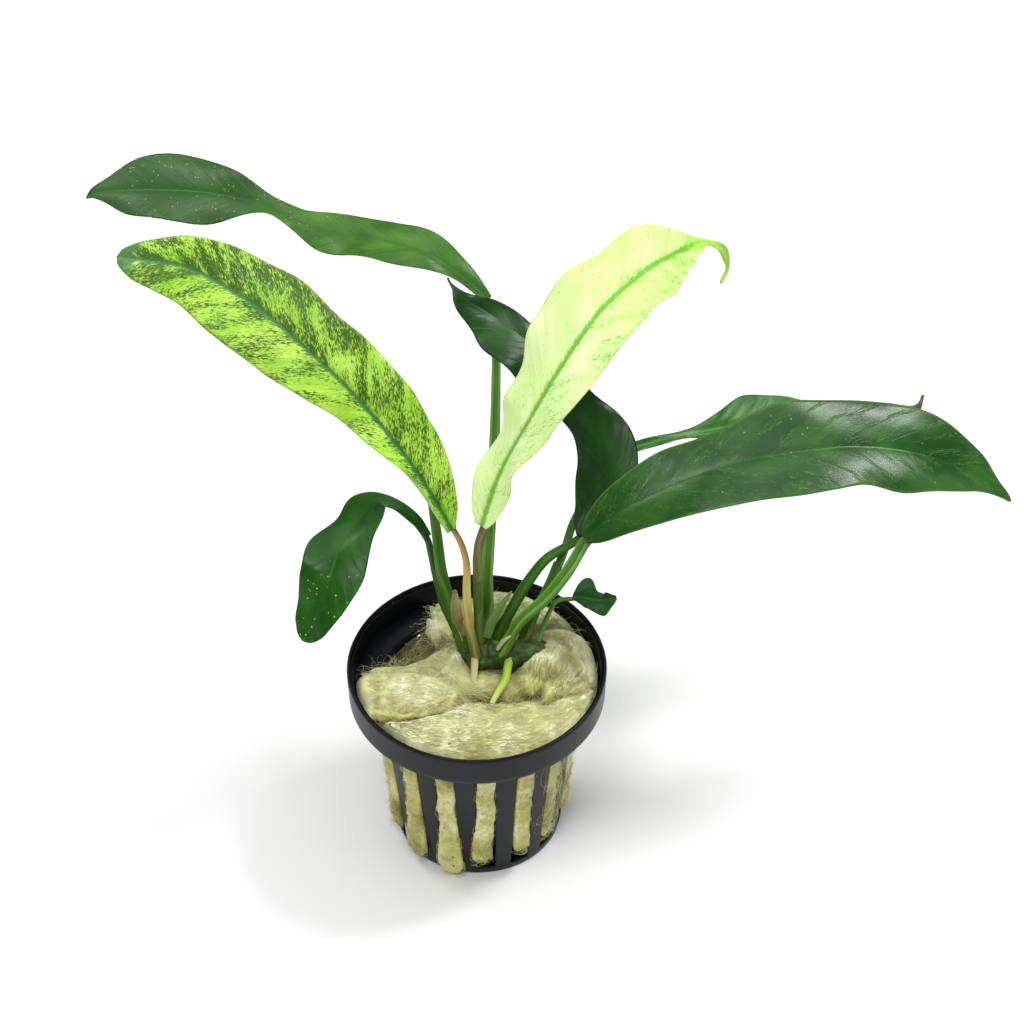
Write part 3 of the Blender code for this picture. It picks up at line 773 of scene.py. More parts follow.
@dataclass
class Blade:
    """A leaf, sheath or bract: a thin sheet laid along a spine and curved across it."""

    node: str
    finish: LeafFinish
    path: Path
    roll: Stops
    left: Stops
    right: Stops
    cup: float
    slot: str = "leaf_dark"
    left_curl: Stops = ((0, -14), (1, -14))
    right_curl: Stops = ((0, -14), (1, -14))
    ruffle: float = 0.5
    ruffles: float = 3.5
    wobble: float = 0.03
    unevenness: float = 0.5
    groove: float = 0.30
    vein_relief: float = 0.05
    seed: float = 0.0
    stations: int = 150
    columns: int = 40
    thickness: float = 0.85
    thin: float = 0.30

    PLAIN_STATIONS = 45
    COLUMN_SPREAD = 1.25
    VEIN_LEAN = 1.1
    VEIN_SPACING = 3.4

    def __post_init__(self) -> None:
        """Make the spine and the smooth tables."""
        self.spine = Spine(self.path)
        self.roll_at = table_of(self.roll)
        self.widths = (table_of(self.left), table_of(self.right))
        self.curls = (table_of(self.left_curl), table_of(self.right_curl))

    def plain_point(self, across: float, share: float) -> Vector:
        """A point of the plain sheet, as the frame has it, in millimetres."""
        side, face = self.spine.directions(share, self.roll_at.at(share))
        half_width = self.widths[across > 0].at(share)
        rise = math.radians(self.cup)
        return (self.spine.at(share) + side * (across * half_width * math.cos(rise))
                + face * (abs(across) * half_width * math.sin(rise)))

    def frame_shift(self) -> Vector:
        """How far the frame's node stands from the plain sheet, in millimetres."""
        points = [self.plain_point(across, index / self.PLAIN_STATIONS)
                  for index in range(self.PLAIN_STATIONS + 1) for across in (-1.0, 0.0, 1.0)]
        low = [min(point[axis] for point in points) for axis in range(3)]
        high = [max(point[axis] for point in points) for axis in range(3)]
        node_low, node_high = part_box(self.node)
        return centre_of(node_low, node_high) / MM - centre_of(low, high)

    def half_section(self, share: float, is_right: bool, count: int) -> list[Point]:
        """The curved section of one half at a share of the length.

        Args:
            share: where along the leaf.
            is_right: whether it is the right half.
            count: how many steps it has from the midrib to the margin.

        Returns:
            The reach to the side, the lift out of the face and the distance along the section.
        """
        half_width = max(self.widths[is_right].at(share), 0.25)
        half_width *= min(1.0, math.sqrt(max(1 - share, 0) / 0.012) + 0.12)
        wobble = noise.noise(Vector((share * 9.0, self.seed + 5.0 * is_right, 0.3)))
        half_width *= 1 + 2 * self.wobble * wobble * ease(share, 0.05, 0.30)
        curl = self.curls[is_right].at(share)
        reach = 0.0
        lift = 0.0
        section = [(0.0, 0.0, 0.0)]
        for index in range(1, count + 1):
            before = ((index - 1) / count) ** self.COLUMN_SPREAD
            here = (index / count) ** self.COLUMN_SPREAD
            middle = (before + here) / 2
            angle = math.radians(self.cup + 2 + curl * middle ** 1.3)
            step = (here - before) * half_width
            reach += step * math.cos(angle)
            lift += step * math.sin(angle)
            section.append((reach, lift, here * half_width))
        return section

    def relief(self, share: float, distance: float, edge: float, is_right: bool) -> float:
        """How far the surface stands out of its smooth section, in millimetres."""
        along = share * self.spine.length
        groove = -self.groove * math.exp(-(distance / 0.8) ** 2) * (1 - 0.7 * share)
        lean = along - distance * self.VEIN_LEAN
        side_veins = math.sin(lean * FULL_TURN / self.VEIN_SPACING + 2 * is_right)
        side_veins *= self.vein_relief
        side_veins *= ease(distance, 0.4, 2.5) * (1 - ease(edge, 0.75, 1.0))
        phase = self.seed + (1.7 if is_right else 0.0)
        drift = noise.noise(Vector((share * 2.5, phase, 7.0))) * 2.5
        ruffle = math.sin(share * self.ruffles * FULL_TURN + phase * 2.3 + drift)
        ruffle *= self.ruffle * edge ** 2.2 * ease(share, 0.0, 0.12) * (1 - ease(share, 0.9, 1.0))
        spot = Vector((along / 9.0, (distance if is_right else -distance) / 7.0, self.seed))
        swell = noise.noise(spot) * self.unevenness * edge * ease(share, 0.0, 0.15)
        return groove + side_veins + ruffle + swell

    def build(self, origin: Vector) -> bpy.types.Object:
        """Build the blade.

        Args:
            origin: the plant's origin in the frame, in millimetres.

        Returns:
            The piece.
        """
        form = bmesh.new()
        half = self.columns // 2
        bmesh.ops.create_grid(form, x_segments=2 * half, y_segments=self.stations, size=0.5)
        weights = form.verts.layers.deform.verify()
        rows = {}
        marks = {}
        for vertex in form.verts:
            row = round((vertex.co.y + 0.5) * self.stations)
            column = round((vertex.co.x + 0.5) * 2 * half) - half
            share = row / self.stations
            if row not in rows:
                side, face = self.spine.directions(share, self.roll_at.at(share))
                sections = [self.half_section(share, is_right, half) for is_right in (False, True)]
                rows[row] = (self.spine.at(share), side, face, sections)
            point, side, face, sections = rows[row]
            is_right = column > 0
            sign = 1 if is_right else -1
            reach, lift, distance = sections[is_right][abs(column)]
            edge = (abs(column) / half) ** self.COLUMN_SPREAD
            lift += self.relief(share, distance, edge, is_right)
            vertex.co = (origin + point + side * (sign * reach) + face * lift) * MM
            marks[vertex] = ((sign * edge, share), (sign * distance, share * self.spine.length))
            keel = (self.thickness - self.thin) * math.exp(-(distance / 0.75) ** 2)
            keel *= 1 - 0.75 * share
            thickness = (self.thin + keel) * (1 - 0.45 * ease(edge, 0.7, 1.0))
            vertex[weights][0] = thickness / self.thickness
        write_maps(form, ("leaf", "leaf_mm"), marks)
        materials = [self.finish.make(side) for side in Side]
        piece = hand_over(form, piece_name(self.node), materials, [self.node], self.slot)
        piece.vertex_groups.new(name="thickness")
        body = piece.modifiers.new("thickness", "SOLIDIFY")
        body.thickness = self.thickness * MM
        body.offset = -1.0
        body.vertex_group = "thickness"
        body.use_even_offset = False
        body.material_offset = 1
        return piece


@dataclass
class Stem:
    """A petiole or root: a tube along a spine, with a channel down its upper side."""

    node: str
    finish: StemFinish
    path: Path
    radii: Stops
    slot: str = "petiole_green"
    channel: float = 0.0
    lumpiness: float = 0.05
    foot_depth: float = 4.2
    foot_flare: float = 0.4
    keel: float = 0.0
    stations: int = 110
    columns: int = 24
    seed: float = 0.0

    KEEL_TAPER = 0.75
    KEEL_GAP = 0.45

    def build(self, origin: Vector) -> bpy.types.Object:
        """Build the stem.

        Args:
            origin: the plant's origin in the frame, in millimetres.

        Returns:
            The piece.
        """
        radii = table_of(self.radii)
        path = [Vector(point) for point in self.path]
        foot = (path[0] - path[1]).normalized() * self.foot_depth
        path.insert(0, path[0] + foot)
        if self.keel > 0:
            path[-1:] = self.keel_points(radii.at(1.0))
        spine = Spine(path)
        reach = spine.length
        own_length = Spine(self.path).length + self.foot_depth
        form = bmesh.new()
        bmesh.ops.create_grid(form, x_segments=self.columns, y_segments=self.stations, size=0.5)
        marks = {}
        for vertex in form.verts:
            around = vertex.co.x + 0.5
            share = min(max(vertex.co.y + 0.5, 0.0), 1.0)
            part = min(share * reach / own_length, 1.0)
            radius = radii.at(part) * (1 + self.foot_flare * (1 - ease(part, 0.0, 0.25)))
            past = max(share * reach - own_length, 0.0) / max(reach - own_length, 0.001)
            radius *= 1 - self.KEEL_TAPER * ease(past, 0.0, 1.0)
            radius *= self.end_taper(share, reach, radius)
            angle = (around - 0.5) * FULL_TURN
            point = spine.at(share)
            side, face = spine.directions(share, 0.0)
            swell = noise.noise(polar(1.0, angle, share * reach / 4 + self.seed))
            radius *= 1 + self.lumpiness * swell
            dip = self.channel * math.exp(-(angle / 0.55) ** 2)
            dip *= 1 - ease(past, 0.0, 0.4)
            up = math.cos(angle) - dip
            vertex.co = (origin + point + (side * math.sin(angle) + face * up) * radius) * MM
            marks[vertex] = ((around, part), (angle * max(radius, 0.3), share * reach))
        write_maps(form, ("stem", "stem_mm"), marks)
        join_seams(form)
        return hand_over(form, piece_name(self.node), [self.finish.make()], [self.node], self.slot)

    def keel_points(self, radius: float) -> list[Vector]:
        """The points that carry the stem on as a keel under its blade, in millimetres."""
        blade = BLADE_OF[self.node.replace("petiole", "leaf")]
        points = []
        for part in (0.0, 0.35, 0.7, 1.0):
            share = self.keel * part
            _, face = blade.spine.directions(share, blade.roll_at.at(share))
            depth = radius * (1 - self.KEEL_TAPER * ease(part, 0.0, 1.0)) + self.KEEL_GAP
            points.append(blade.spine.at(share) - face * depth)
        return points

    @staticmethod
    def end_taper(share: float, length: float, radius: float) -> float:
        """How much the ends round off: 0 at the very ends and 1 a radius away from them."""
        to_end = min(share, 1 - share) * length
        inside = min(to_end / max(radius, 0.1), 1.0)
        return math.sqrt(max(1 - (1 - inside) ** 2, 0.0))


@dataclass
class Rhizome:
    """The creeping stem at the foot of the plant, lumpy and ringed with scars."""

    path: Path = ((-5.0, 1.2, 48.3), (-3.5, 1.0, 48.6), (3, 0, 49.4), (9, 0, 50.4), (15, 1, 50.2),
                  (16.6, 1.3, 50.0))
    radii: tuple[float, ...] = (0.9, 2.4, 3.3, 3.5, 3.4, 3.2, 2.9, 2.4, 0.9)
    rings: int = 9
    stations: int = 150
    columns: int = 64

    def build(self, origin: Vector) -> bpy.types.Object:
        """Build the rhizome at the plant's origin, given in millimetres."""
        spine = Spine(self.path)
        last = len(self.radii) - 1
        radii = SmoothTable([index / last for index in range(last + 1)], self.radii)
        form = bmesh.new()
        bmesh.ops.create_grid(form, x_segments=self.columns, y_segments=self.stations, size=0.5)
        scars = form.verts.layers.float.new("scar")
        for vertex in form.verts:
            angle = vertex.co.x * FULL_TURN
            share = min(max(vertex.co.y + 0.5, 0.0), 1.0)
            side, face = spine.directions(share, 0.0)
            ring = math.sin(share * self.rings * FULL_TURN + math.sin(angle) * 0.9) * 0.5 + 0.5
            spot = Vector((math.cos(angle) * 0.9, math.sin(angle) * 0.9, share * 4.0))
            knob = noise.fractal(spot, 0.8, 2.1, 4)
            radius = radii.at(share) * (0.92 + 0.26 * knob) - 0.10 * ring ** 4
            radius = max(radius, 0.05) * Stem.end_taper(share, spine.length, radii.at(share))
            vertex[scars] = ring ** 4
            out = side * math.sin(angle) + face * math.cos(angle)
            vertex.co = (origin + spine.at(share) + out * radius) * MM
        join_seams(form)
        return hand_over(form, "creeping_rhizome", [RhizomeFinish().make()], ["rhizome"],
                         "rhizome_skin")


# ---- Leaf and stem finishes


GREEN_LONG = LeafFinish(
    name="leaf_long", deep=(0.026, 0.108, 0.009), light=(0.082, 0.220, 0.024),
    midrib=(0.03, 0.11, 0.016), vein=(0.13, 0.32, 0.06), under=(0.20, 0.36, 0.12),
    midrib_strength=0.5, vein_strength=0.05, vein_lean=1.6, streaks=0.2,
    outer=(0.026, 0.082, 0.020), outer_start=0.46, outer_strength=0.8, fleck=(0.26, 0.38, 0.18),
    fleck_cover=0.5, fleck_start=0.3, tip=(0.12, 0.10, 0.03), roughness=0.36)
GREEN_BROAD = LeafFinish(
    name="leaf_broad", deep=(0.009, 0.058, 0.007), light=(0.032, 0.118, 0.016),
    midrib=(0.035, 0.14, 0.02), vein=(0.14, 0.28, 0.035), under=(0.14, 0.26, 0.09),
    midrib_width=0.3, midrib_strength=0.15, vein_strength=0.03, vein_spacing=9.0, vein_lean=1.8,
    streaks=0.12,
    mottle=(0.10, 0.22, 0.03), mottle_cover=-0.03, fleck=(0.26, 0.40, 0.18), fleck_cover=0.05,
    tip=(0.16, 0.07, 0.02), tip_start=0.975, rim=(0.20, 0.32, 0.10), rim_strength=0.35,
    roughness=0.27, shine=0.40)
GREEN_DARK = LeafFinish(
    name="leaf_dark", deep=(0.005, 0.036, 0.005), light=(0.020, 0.080, 0.012),
    midrib=(0.02, 0.08, 0.012), vein=(0.05, 0.16, 0.03), under=(0.08, 0.18, 0.05),
    midrib_strength=0.35, vein_strength=0.04, vein_lean=2.0, streaks=0.15, roughness=0.30,
    shine=0.28)
GREEN_DROOPING = LeafFinish(
    name="leaf_drooping", deep=(0.007, 0.060, 0.002), light=(0.022, 0.115, 0.008),
    midrib=(0.02, 0.10, 0.01), vein=(0.05, 0.18, 0.02), under=(0.07, 0.18, 0.04),
    midrib_strength=0.25, vein_strength=0.03, streaks=0.15, fleck=(0.50, 0.66, 0.36),
    fleck_cover=0.85, fleck_start=0.60, roughness=0.30, shine=0.30)
GREEN_FAR = LeafFinish(
    name="leaf_far", deep=(0.022, 0.105, 0.014), light=(0.060, 0.190, 0.034),
    midrib=(0.08, 0.22, 0.05), vein=(0.12, 0.30, 0.06), under=(0.13, 0.26, 0.08),
    vein_strength=0.12, tip=(0.22, 0.08, 0.03), tip_start=0.93, roughness=0.36)
GREEN_YOUNG = LeafFinish(
    name="leaf_young", deep=(0.008, 0.062, 0.010), light=(0.028, 0.125, 0.020),
    midrib=(0.03, 0.12, 0.02), vein=(0.05, 0.18, 0.03), under=(0.08, 0.19, 0.05),
    vein_strength=0.12, vein_spacing=1.6, roughness=0.36)
LIME_MOTTLED = LeafFinish(
    name="leaf_mottled", deep=(0.29, 0.59, 0.030), light=(0.54, 0.84, 0.12),
    midrib=(0.045, 0.17, 0.04), vein=(0.18, 0.46, 0.04), under=(0.36, 0.62, 0.24),
    mottle=(0.050, 0.130, 0.010),
    mottle_cover=0.100, mottle_to_tip=0.060, mottle_to_left=-0.060, midrib_width=0.6,
    midrib_halo=1.1, midrib_break=0.5, vein_strength=0.15, tip=(0.08, 0.20, 0.06), tip_start=0.94,
    rim=(0.20, 0.40, 0.07), rim_strength=0.4, roughness=0.38, subsurface=0.10)
CREAM_PALE = LeafFinish(
    name="leaf_pale", deep=(0.62, 0.86, 0.30), light=(0.80, 0.95, 0.50), midrib=(0.14, 0.42, 0.02),
    vein=(0.60, 0.84, 0.30), under=(0.70, 0.86, 0.38), mottle=(0.26, 0.56, 0.06),
    mottle_cover=0.005, mottle_to_tip=0.060, mottle_to_left=-0.070, midrib_width=0.75,
    midrib_halo=1.3, midrib_break=1.2, vein_strength=0.10, outer=(0.52, 0.88, 0.16),
    outer_start=0.45, outer_strength=0.45, tip=(0.36, 0.66, 0.08), tip_start=0.80,
    rim=(0.66, 0.84, 0.24),
    rim_strength=0.4, roughness=0.42, subsurface=0.12)
SHEATH_GREEN = LeafFinish(
    name="sheath_green", deep=(0.04, 0.13, 0.015), light=(0.11, 0.24, 0.03),
    midrib=(0.06, 0.2, 0.03), vein=(0.24, 0.4, 0.12), under=(0.2, 0.36, 0.1),
    vein_spacing=0.9, vein_lean=0.2, roughness=0.42)
BRACT_TAN = LeafFinish(
    name="bract_papery", deep=(0.26, 0.24, 0.08), light=(0.48, 0.44, 0.22),
    midrib=(0.35, 0.28, 0.12), vein=(0.72, 0.68, 0.45), under=(0.6, 0.55, 0.32),
    vein_spacing=0.7, vein_lean=0.15,
    tip=(0.28, 0.18, 0.07), tip_start=0.9, roughness=0.62)
BRACT_CREAM = LeafFinish(
    name="bract_cream", deep=(0.40, 0.46, 0.16), light=(0.68, 0.72, 0.40), midrib=(0.4, 0.45, 0.15),
    vein=(0.7, 0.75, 0.45), under=(0.6, 0.64, 0.36), vein_spacing=0.7, vein_lean=0.15,
    roughness=0.55)

STEM_GREEN = StemFinish(
    name="stem_green", edge=(0.16, 0.33, 0.06), lip_highlight_strength=0.35,
    stops=((0.0, (0.10, 0.20, 0.02)), (0.3, (0.05, 0.155, 0.012)), (1.0, (0.030, 0.115, 0.008))))
STEM_DARK = StemFinish(
    name="stem_dark", edge=(0.12, 0.28, 0.04), lip_highlight_strength=0.3,
    stops=((0.0, (0.09, 0.18, 0.018)), (0.4, (0.035, 0.13, 0.008)), (1.0, (0.018, 0.088, 0.005))))
STEM_LIGHT = StemFinish(
    name="stem_light", edge=(0.26, 0.46, 0.11), lip_highlight_strength=0.5,
    stops=((0.0, (0.12, 0.22, 0.025)), (0.4, (0.075, 0.23, 0.016)), (1.0, (0.050, 0.18, 0.014))))
STEM_AMBER = StemFinish(
    name="stem_amber", edge=(0.8, 0.74, 0.4), lip_highlight_strength=0.25,
    stops=((0.0, (0.10, 0.14, 0.02)), (0.18, (0.20, 0.18, 0.035)), (0.36, (0.46, 0.36, 0.09)),
           (0.62, (0.58, 0.50, 0.13)), (0.85, (0.46, 0.28, 0.06)), (1.0, (0.27, 0.11, 0.025))))
STEM_OLIVE = StemFinish(
    name="stem_olive", edge=(0.26, 0.34, 0.12), lip_highlight_strength=0.3, fibre=0.4,
    stops=((0.0, (0.12, 0.20, 0.03)), (0.45, (0.09, 0.17, 0.022)), (0.75, (0.15, 0.15, 0.035)),
           (1.0, (0.15, 0.10, 0.045))))
ROOT_CREAM = StemFinish(
    name="root_cream", stops=((0.0, (0.50, 0.48, 0.18)), (1.0, (0.72, 0.70, 0.42))), fibre=0.2)
ROOT_GREEN = StemFinish(
    name="root_green", fibre=0.15,
    stops=((0.0, (0.24, 0.40, 0.05)), (0.5, (0.42, 0.58, 0.06)), (1.0, (0.56, 0.66, 0.22))))


# ---- The plant


BLADES = (
    Blade(
        "leaf_mottled", LIME_MOTTLED, slot="leaf_mottled", seed=1.0,
        path=((-5.0, 5, 81), (-9, 9, 87), (-15, 13, 95.5), (-25, 19, 106), (-35, 25, 113.5),
              (-46, 32, 119.5), (-59.5, 39, 123), (-74, 43.5, 122.3)),
        roll=((0, 55), (0.15, 42), (0.5, 38), (1, 32)),
        left=((0, 1.4), (0.06, 2.6), (0.2, 3.8), (0.35, 5.8), (0.5, 9), (0.68, 10), (0.82, 8),
              (0.94, 5.2), (1, 1.4)),
        right=((0, 1), (0.05, 4.2), (0.2, 8.2), (0.4, 9.9), (0.6, 9.6), (0.8, 7.2), (0.93, 4.6),
               (1, 1.4)),
        cup=8, left_curl=((0, 165), (0.1, 150), (0.22, 60), (0.35, -6), (1, -14)),
        ruffles=4.0, wobble=0.04),
    Blade(
        "leaf_pale", CREAM_PALE, slot="leaf_pale", seed=2.0,
        path=((1, 2, 85), (5, 7, 95.5), (10.5, 10, 106), (17, 15, 116), (25, 23, 124),
              (34, 32, 127), (41, 39, 126.5), (47, 44, 125.5), (51, 46, 122), (52, 46, 117.5),
              (50.5, 44, 115)),
        roll=((0, 5), (0.3, 5), (0.5, -5), (0.65, -20), (0.8, -30), (1, -30)),
        left=((0, 1.6), (0.03, 3.6), (0.12, 5.8), (0.3, 9.8), (0.45, 10.5), (0.6, 10.5), (0.7, 9),
              (0.78, 6), (0.85, 1.5), (0.92, 0.7), (1, 0.5)),
        right=((0, 1.6), (0.03, 3.2), (0.15, 5.6), (0.35, 9), (0.5, 9), (0.6, 8), (0.7, 7),
               (0.78, 4.5), (0.85, 1.2), (0.92, 0.6), (1, 0.5)),
        cup=6, ruffle=0.9, ruffles=6.0, wobble=0.09),
    Blade(
        "leaf_long", GREEN_LONG, seed=3.0,
        path=((2.5, 49, 107), (-3.5, 52, 111.5), (-10.5, 54, 115.5), (-19, 57, 116.5),
              (-28.5, 60, 116), (-37.5, 63, 117), (-44.5, 66, 119), (-52.5, 69, 119.5),
              (-62.5, 73, 118.2), (-74, 76, 116.4), (-84, 78, 114.2), (-86.2, 78.4, 112.6)),
        roll=((0, 20), (0.3, 15), (0.5, 25), (0.8, 20), (1, 20)),
        left=((0, 1), (0.1, 2.5), (0.25, 5.8), (0.4, 5.2), (0.48, 2.4), (0.55, 2.4), (0.65, 7.4),
              (0.75, 9), (0.87, 6.8), (0.95, 2.4), (1, 0.4)),
        right=((0, 1), (0.1, 3.6), (0.25, 5.4), (0.4, 4.2), (0.48, 3), (0.55, 2.6), (0.65, 6.2),
               (0.75, 9), (0.87, 8), (0.95, 3.4), (1, 0.4)),
        cup=8, ruffle=0.8, ruffles=4.0, vein_relief=0.02),
    Blade(
        "leaf_dark", GREEN_DARK, seed=4.0,
        path=((21.5, 11.5, 73.5), (24, 16, 79), (26, 20, 86), (24.5, 24, 92.5), (19.5, 28, 99.5),
              (14, 32, 105.5), (8.5, 35, 109), (3, 38, 111.5), (-2, 39, 114.5), (-4.5, 39, 117.5),
              (-5.5, 38, 121)),
        roll=((0, 0), (0.5, 20), (1, 30)),
        left=((0, 0.8), (0.06, 3), (0.2, 5), (0.35, 5), (0.55, 8), (0.75, 7.5), (0.88, 4),
              (0.95, 2), (1, 0.5)),
        right=((0, 0.8), (0.05, 5), (0.15, 8), (0.3, 7), (0.45, 3.6), (0.6, 3.6), (0.75, 3.6),
               (0.88, 1.8), (0.95, 1.2), (1, 0.5)),
        cup=10, ruffle=0.9, ruffles=4.0, vein_relief=0.02, groove=0.2),
    Blade(
        "leaf_broad", GREEN_BROAD, seed=5.0,
        path=((22.3, 8, 76), (30.5, 9, 83.5), (42.5, 11, 89.5), (54.5, 13, 93), (67, 15, 94),
              (79, 17, 93.5), (92, 18, 90.5), (103, 18, 85.2), (110, 17, 80.6),
              (112.2, 16.6, 78.6)),
        roll=((0, -30), (0.3, -22), (0.6, -25), (1, -20)),
        left=((0, 1.2), (0.03, 3.6), (0.09, 5.4), (0.23, 7.6), (0.36, 8.5), (0.46, 10.6),
              (0.73, 10.2), (0.87, 6.8), (0.95, 2.5), (1, 0.4)),
        right=((0, 1.2), (0.03, 3.2), (0.08, 4.8), (0.25, 8.5), (0.48, 10), (0.63, 9),
               (0.73, 9.5), (0.87, 5.2), (0.95, 1.8), (1, 0.4)),
        cup=8, ruffle=0.6, ruffles=3.0, vein_relief=0.012, groove=0.12),
    Blade(
        "leaf_far", GREEN_FAR, seed=6.0,
        path=((33, 30, 82), (40, 33, 82), (47.5, 36, 81.5), (57.5, 40, 80), (69.5, 44, 78),
              (83, 47, 76.5), (92.5, 49, 75.5), (96.5, 49.4, 76.6), (97.4, 49.4, 80.5)),
        roll=((0, -25), (1, -20)),
        left=((0, 1.2), (0.2, 1.3), (0.3, 3.4), (0.4, 7), (0.5, 6.4), (0.6, 4), (0.7, 3.8),
              (0.85, 2.7), (0.95, 1), (1, 0.5)),
        right=((0, 1.2), (0.2, 1.3), (0.45, 6), (0.7, 6.5), (0.88, 4), (0.95, 1.2), (1, 0.5)),
        cup=8, ruffle=0.6),
    Blade(
        "leaf_drooping", GREEN_DROOPING, seed=7.0,
        path=((-10, 10, 74.8), (-13.5, 13, 77.9), (-17.5, 14, 80.8), (-21, 13, 82.0),
              (-24.5, 8, 80.8), (-28, 2, 78.6), (-30, -3, 75), (-32, -6, 70.5), (-34.5, -8, 65.5),
              (-36, -9, 63)),
        roll=((0, 0), (0.4, 0), (1, 20)),
        left=((0, 0.8), (0.12, 1.5), (0.25, 2.8), (0.36, 4.6), (0.48, 5.6), (0.6, 6.9),
              (0.75, 6.2), (0.9, 4.5), (0.97, 2.5), (1, 0.8)),
        right=((0, 0.8), (0.12, 1.5), (0.25, 2.5), (0.34, 4.8), (0.46, 4.2), (0.6, 6.6), (0.75, 6),
               (0.9, 4.5), (0.97, 2.5), (1, 0.8)),
        cup=8, ruffle=0.45, ruffles=2.0, vein_relief=0.015, groove=0.15),
    Blade(
        "leaf_shaded", GREEN_DARK, seed=8.0,
        path=((-10.5, 16, 84), (-16.5, 25, 90.5), (-26, 34, 97), (-39, 43, 102.5),
              (-51.5, 50, 107)),
        roll=((0, 40), (1, 30)),
        left=((0, 0.8), (0.2, 2.5), (0.5, 5), (0.8, 4), (1, 0.5)),
        right=((0, 0.8), (0.2, 4), (0.5, 6), (0.8, 4.5), (1, 0.5)),
        cup=8, ruffles=3.0),
    Blade(
        "leaf_young", GREEN_YOUNG, seed=9.0,
        path=((20.3, 12, 55.2), (22.5, 11, 56), (26, 9, 57), (29.5, 8, 58.5)),
        roll=((0, -20), (1, -20)),
        left=((0, 0.6), (0.14, 4.2), (0.3, 4.3), (0.5, 2.2), (0.8, 1.6), (1, 0.7)),
        right=((0, 0.6), (0.3, 2.0), (0.6, 3.0), (0.8, 4.0), (1, 1.2)),
        cup=12, ruffle=0.25, ruffles=2.5, unevenness=0.3, groove=0.15, vein_relief=0.03,
        stations=60, columns=32, thickness=0.6, thin=0.3),
)


def sheath(node: str, finish: LeafFinish, path: Path, roll: Stops, width: Stops, curl: Stops,
           cup: float, **sizes: float) -> Blade:
    """A smooth sheath or bract that is the same on both sides.

    Args:
        node: the frame's node.
        finish: its finish.
        path: its spine.
        roll: its tilt along the spine.
        width: its half width along the spine.
        curl: how far its halves curl in along the spine.
        cup: how steeply its halves rise.
        sizes: the other sizes of the blade.

    Returns:
        The blade.
    """
    return Blade(node=node, finish=finish, path=path, roll=roll, left=width, right=width,
                 left_curl=curl, right_curl=curl, cup=cup, groove=0.0, vein_relief=0.0, **sizes)


SHEATHS = (
    sheath("sheath_tall", SHEATH_GREEN, ((2.6, 0.4, 54.4), (4.3, 1.0, 60), (7.2, 2.2, 66.5)),
           ((0, 60), (1, 40)), ((0, 1.6), (0.4, 1.8), (1, 0.3)), ((0, 50), (1, 20)), 30,
           slot="petiole_green", seed=10.0, ruffle=0.0, unevenness=0.15, stations=50, columns=20,
           thickness=0.4, thin=0.25),
    sheath("sheath_slim", SHEATH_GREEN, ((12.8, 6.2, 58.0), (15.2, 9.2, 62.5), (16.6, 11.6, 66.0)),
           ((0, 10), (1, 10)), ((0, 0.6), (0.5, 0.7), (1, 0.3)), ((0, 40), (1, 20)), 30,
           slot="petiole_green", seed=11.0, ruffle=0.0, unevenness=0.1, stations=40, columns=16,
           thickness=0.4, thin=0.25),
    sheath("bract_tan", BRACT_TAN, ((-3.0, -0.6, 55.4), (-4.2, 0.0, 60.5), (-4.6, 1.4, 67.5)),
           ((0, 0), (1, 0)), ((0, 1.2), (0.5, 1.4), (1, 0.5)), ((0, 30), (1, 10)), 15,
           slot="bract_dry", seed=12.0, ruffle=0.12, unevenness=0.25, stations=50, columns=20,
           thickness=0.3, thin=0.18),
    sheath("bract_small", BRACT_CREAM, ((4.4, -3.2, 54.6), (5.4, -3.2, 56.4), (7.0, -2.9, 58.2)),
           ((0, 20), (1, 20)), ((0, 0.6), (0.5, 0.8), (1, 0.3)), ((0, 30), (1, 10)), 25,
           slot="bract_dry", seed=13.0, ruffle=0.0, unevenness=0.15, stations=40, columns=16,
           thickness=0.35, thin=0.2),
)

BLADE_OF = {blade.node: blade for blade in BLADES}

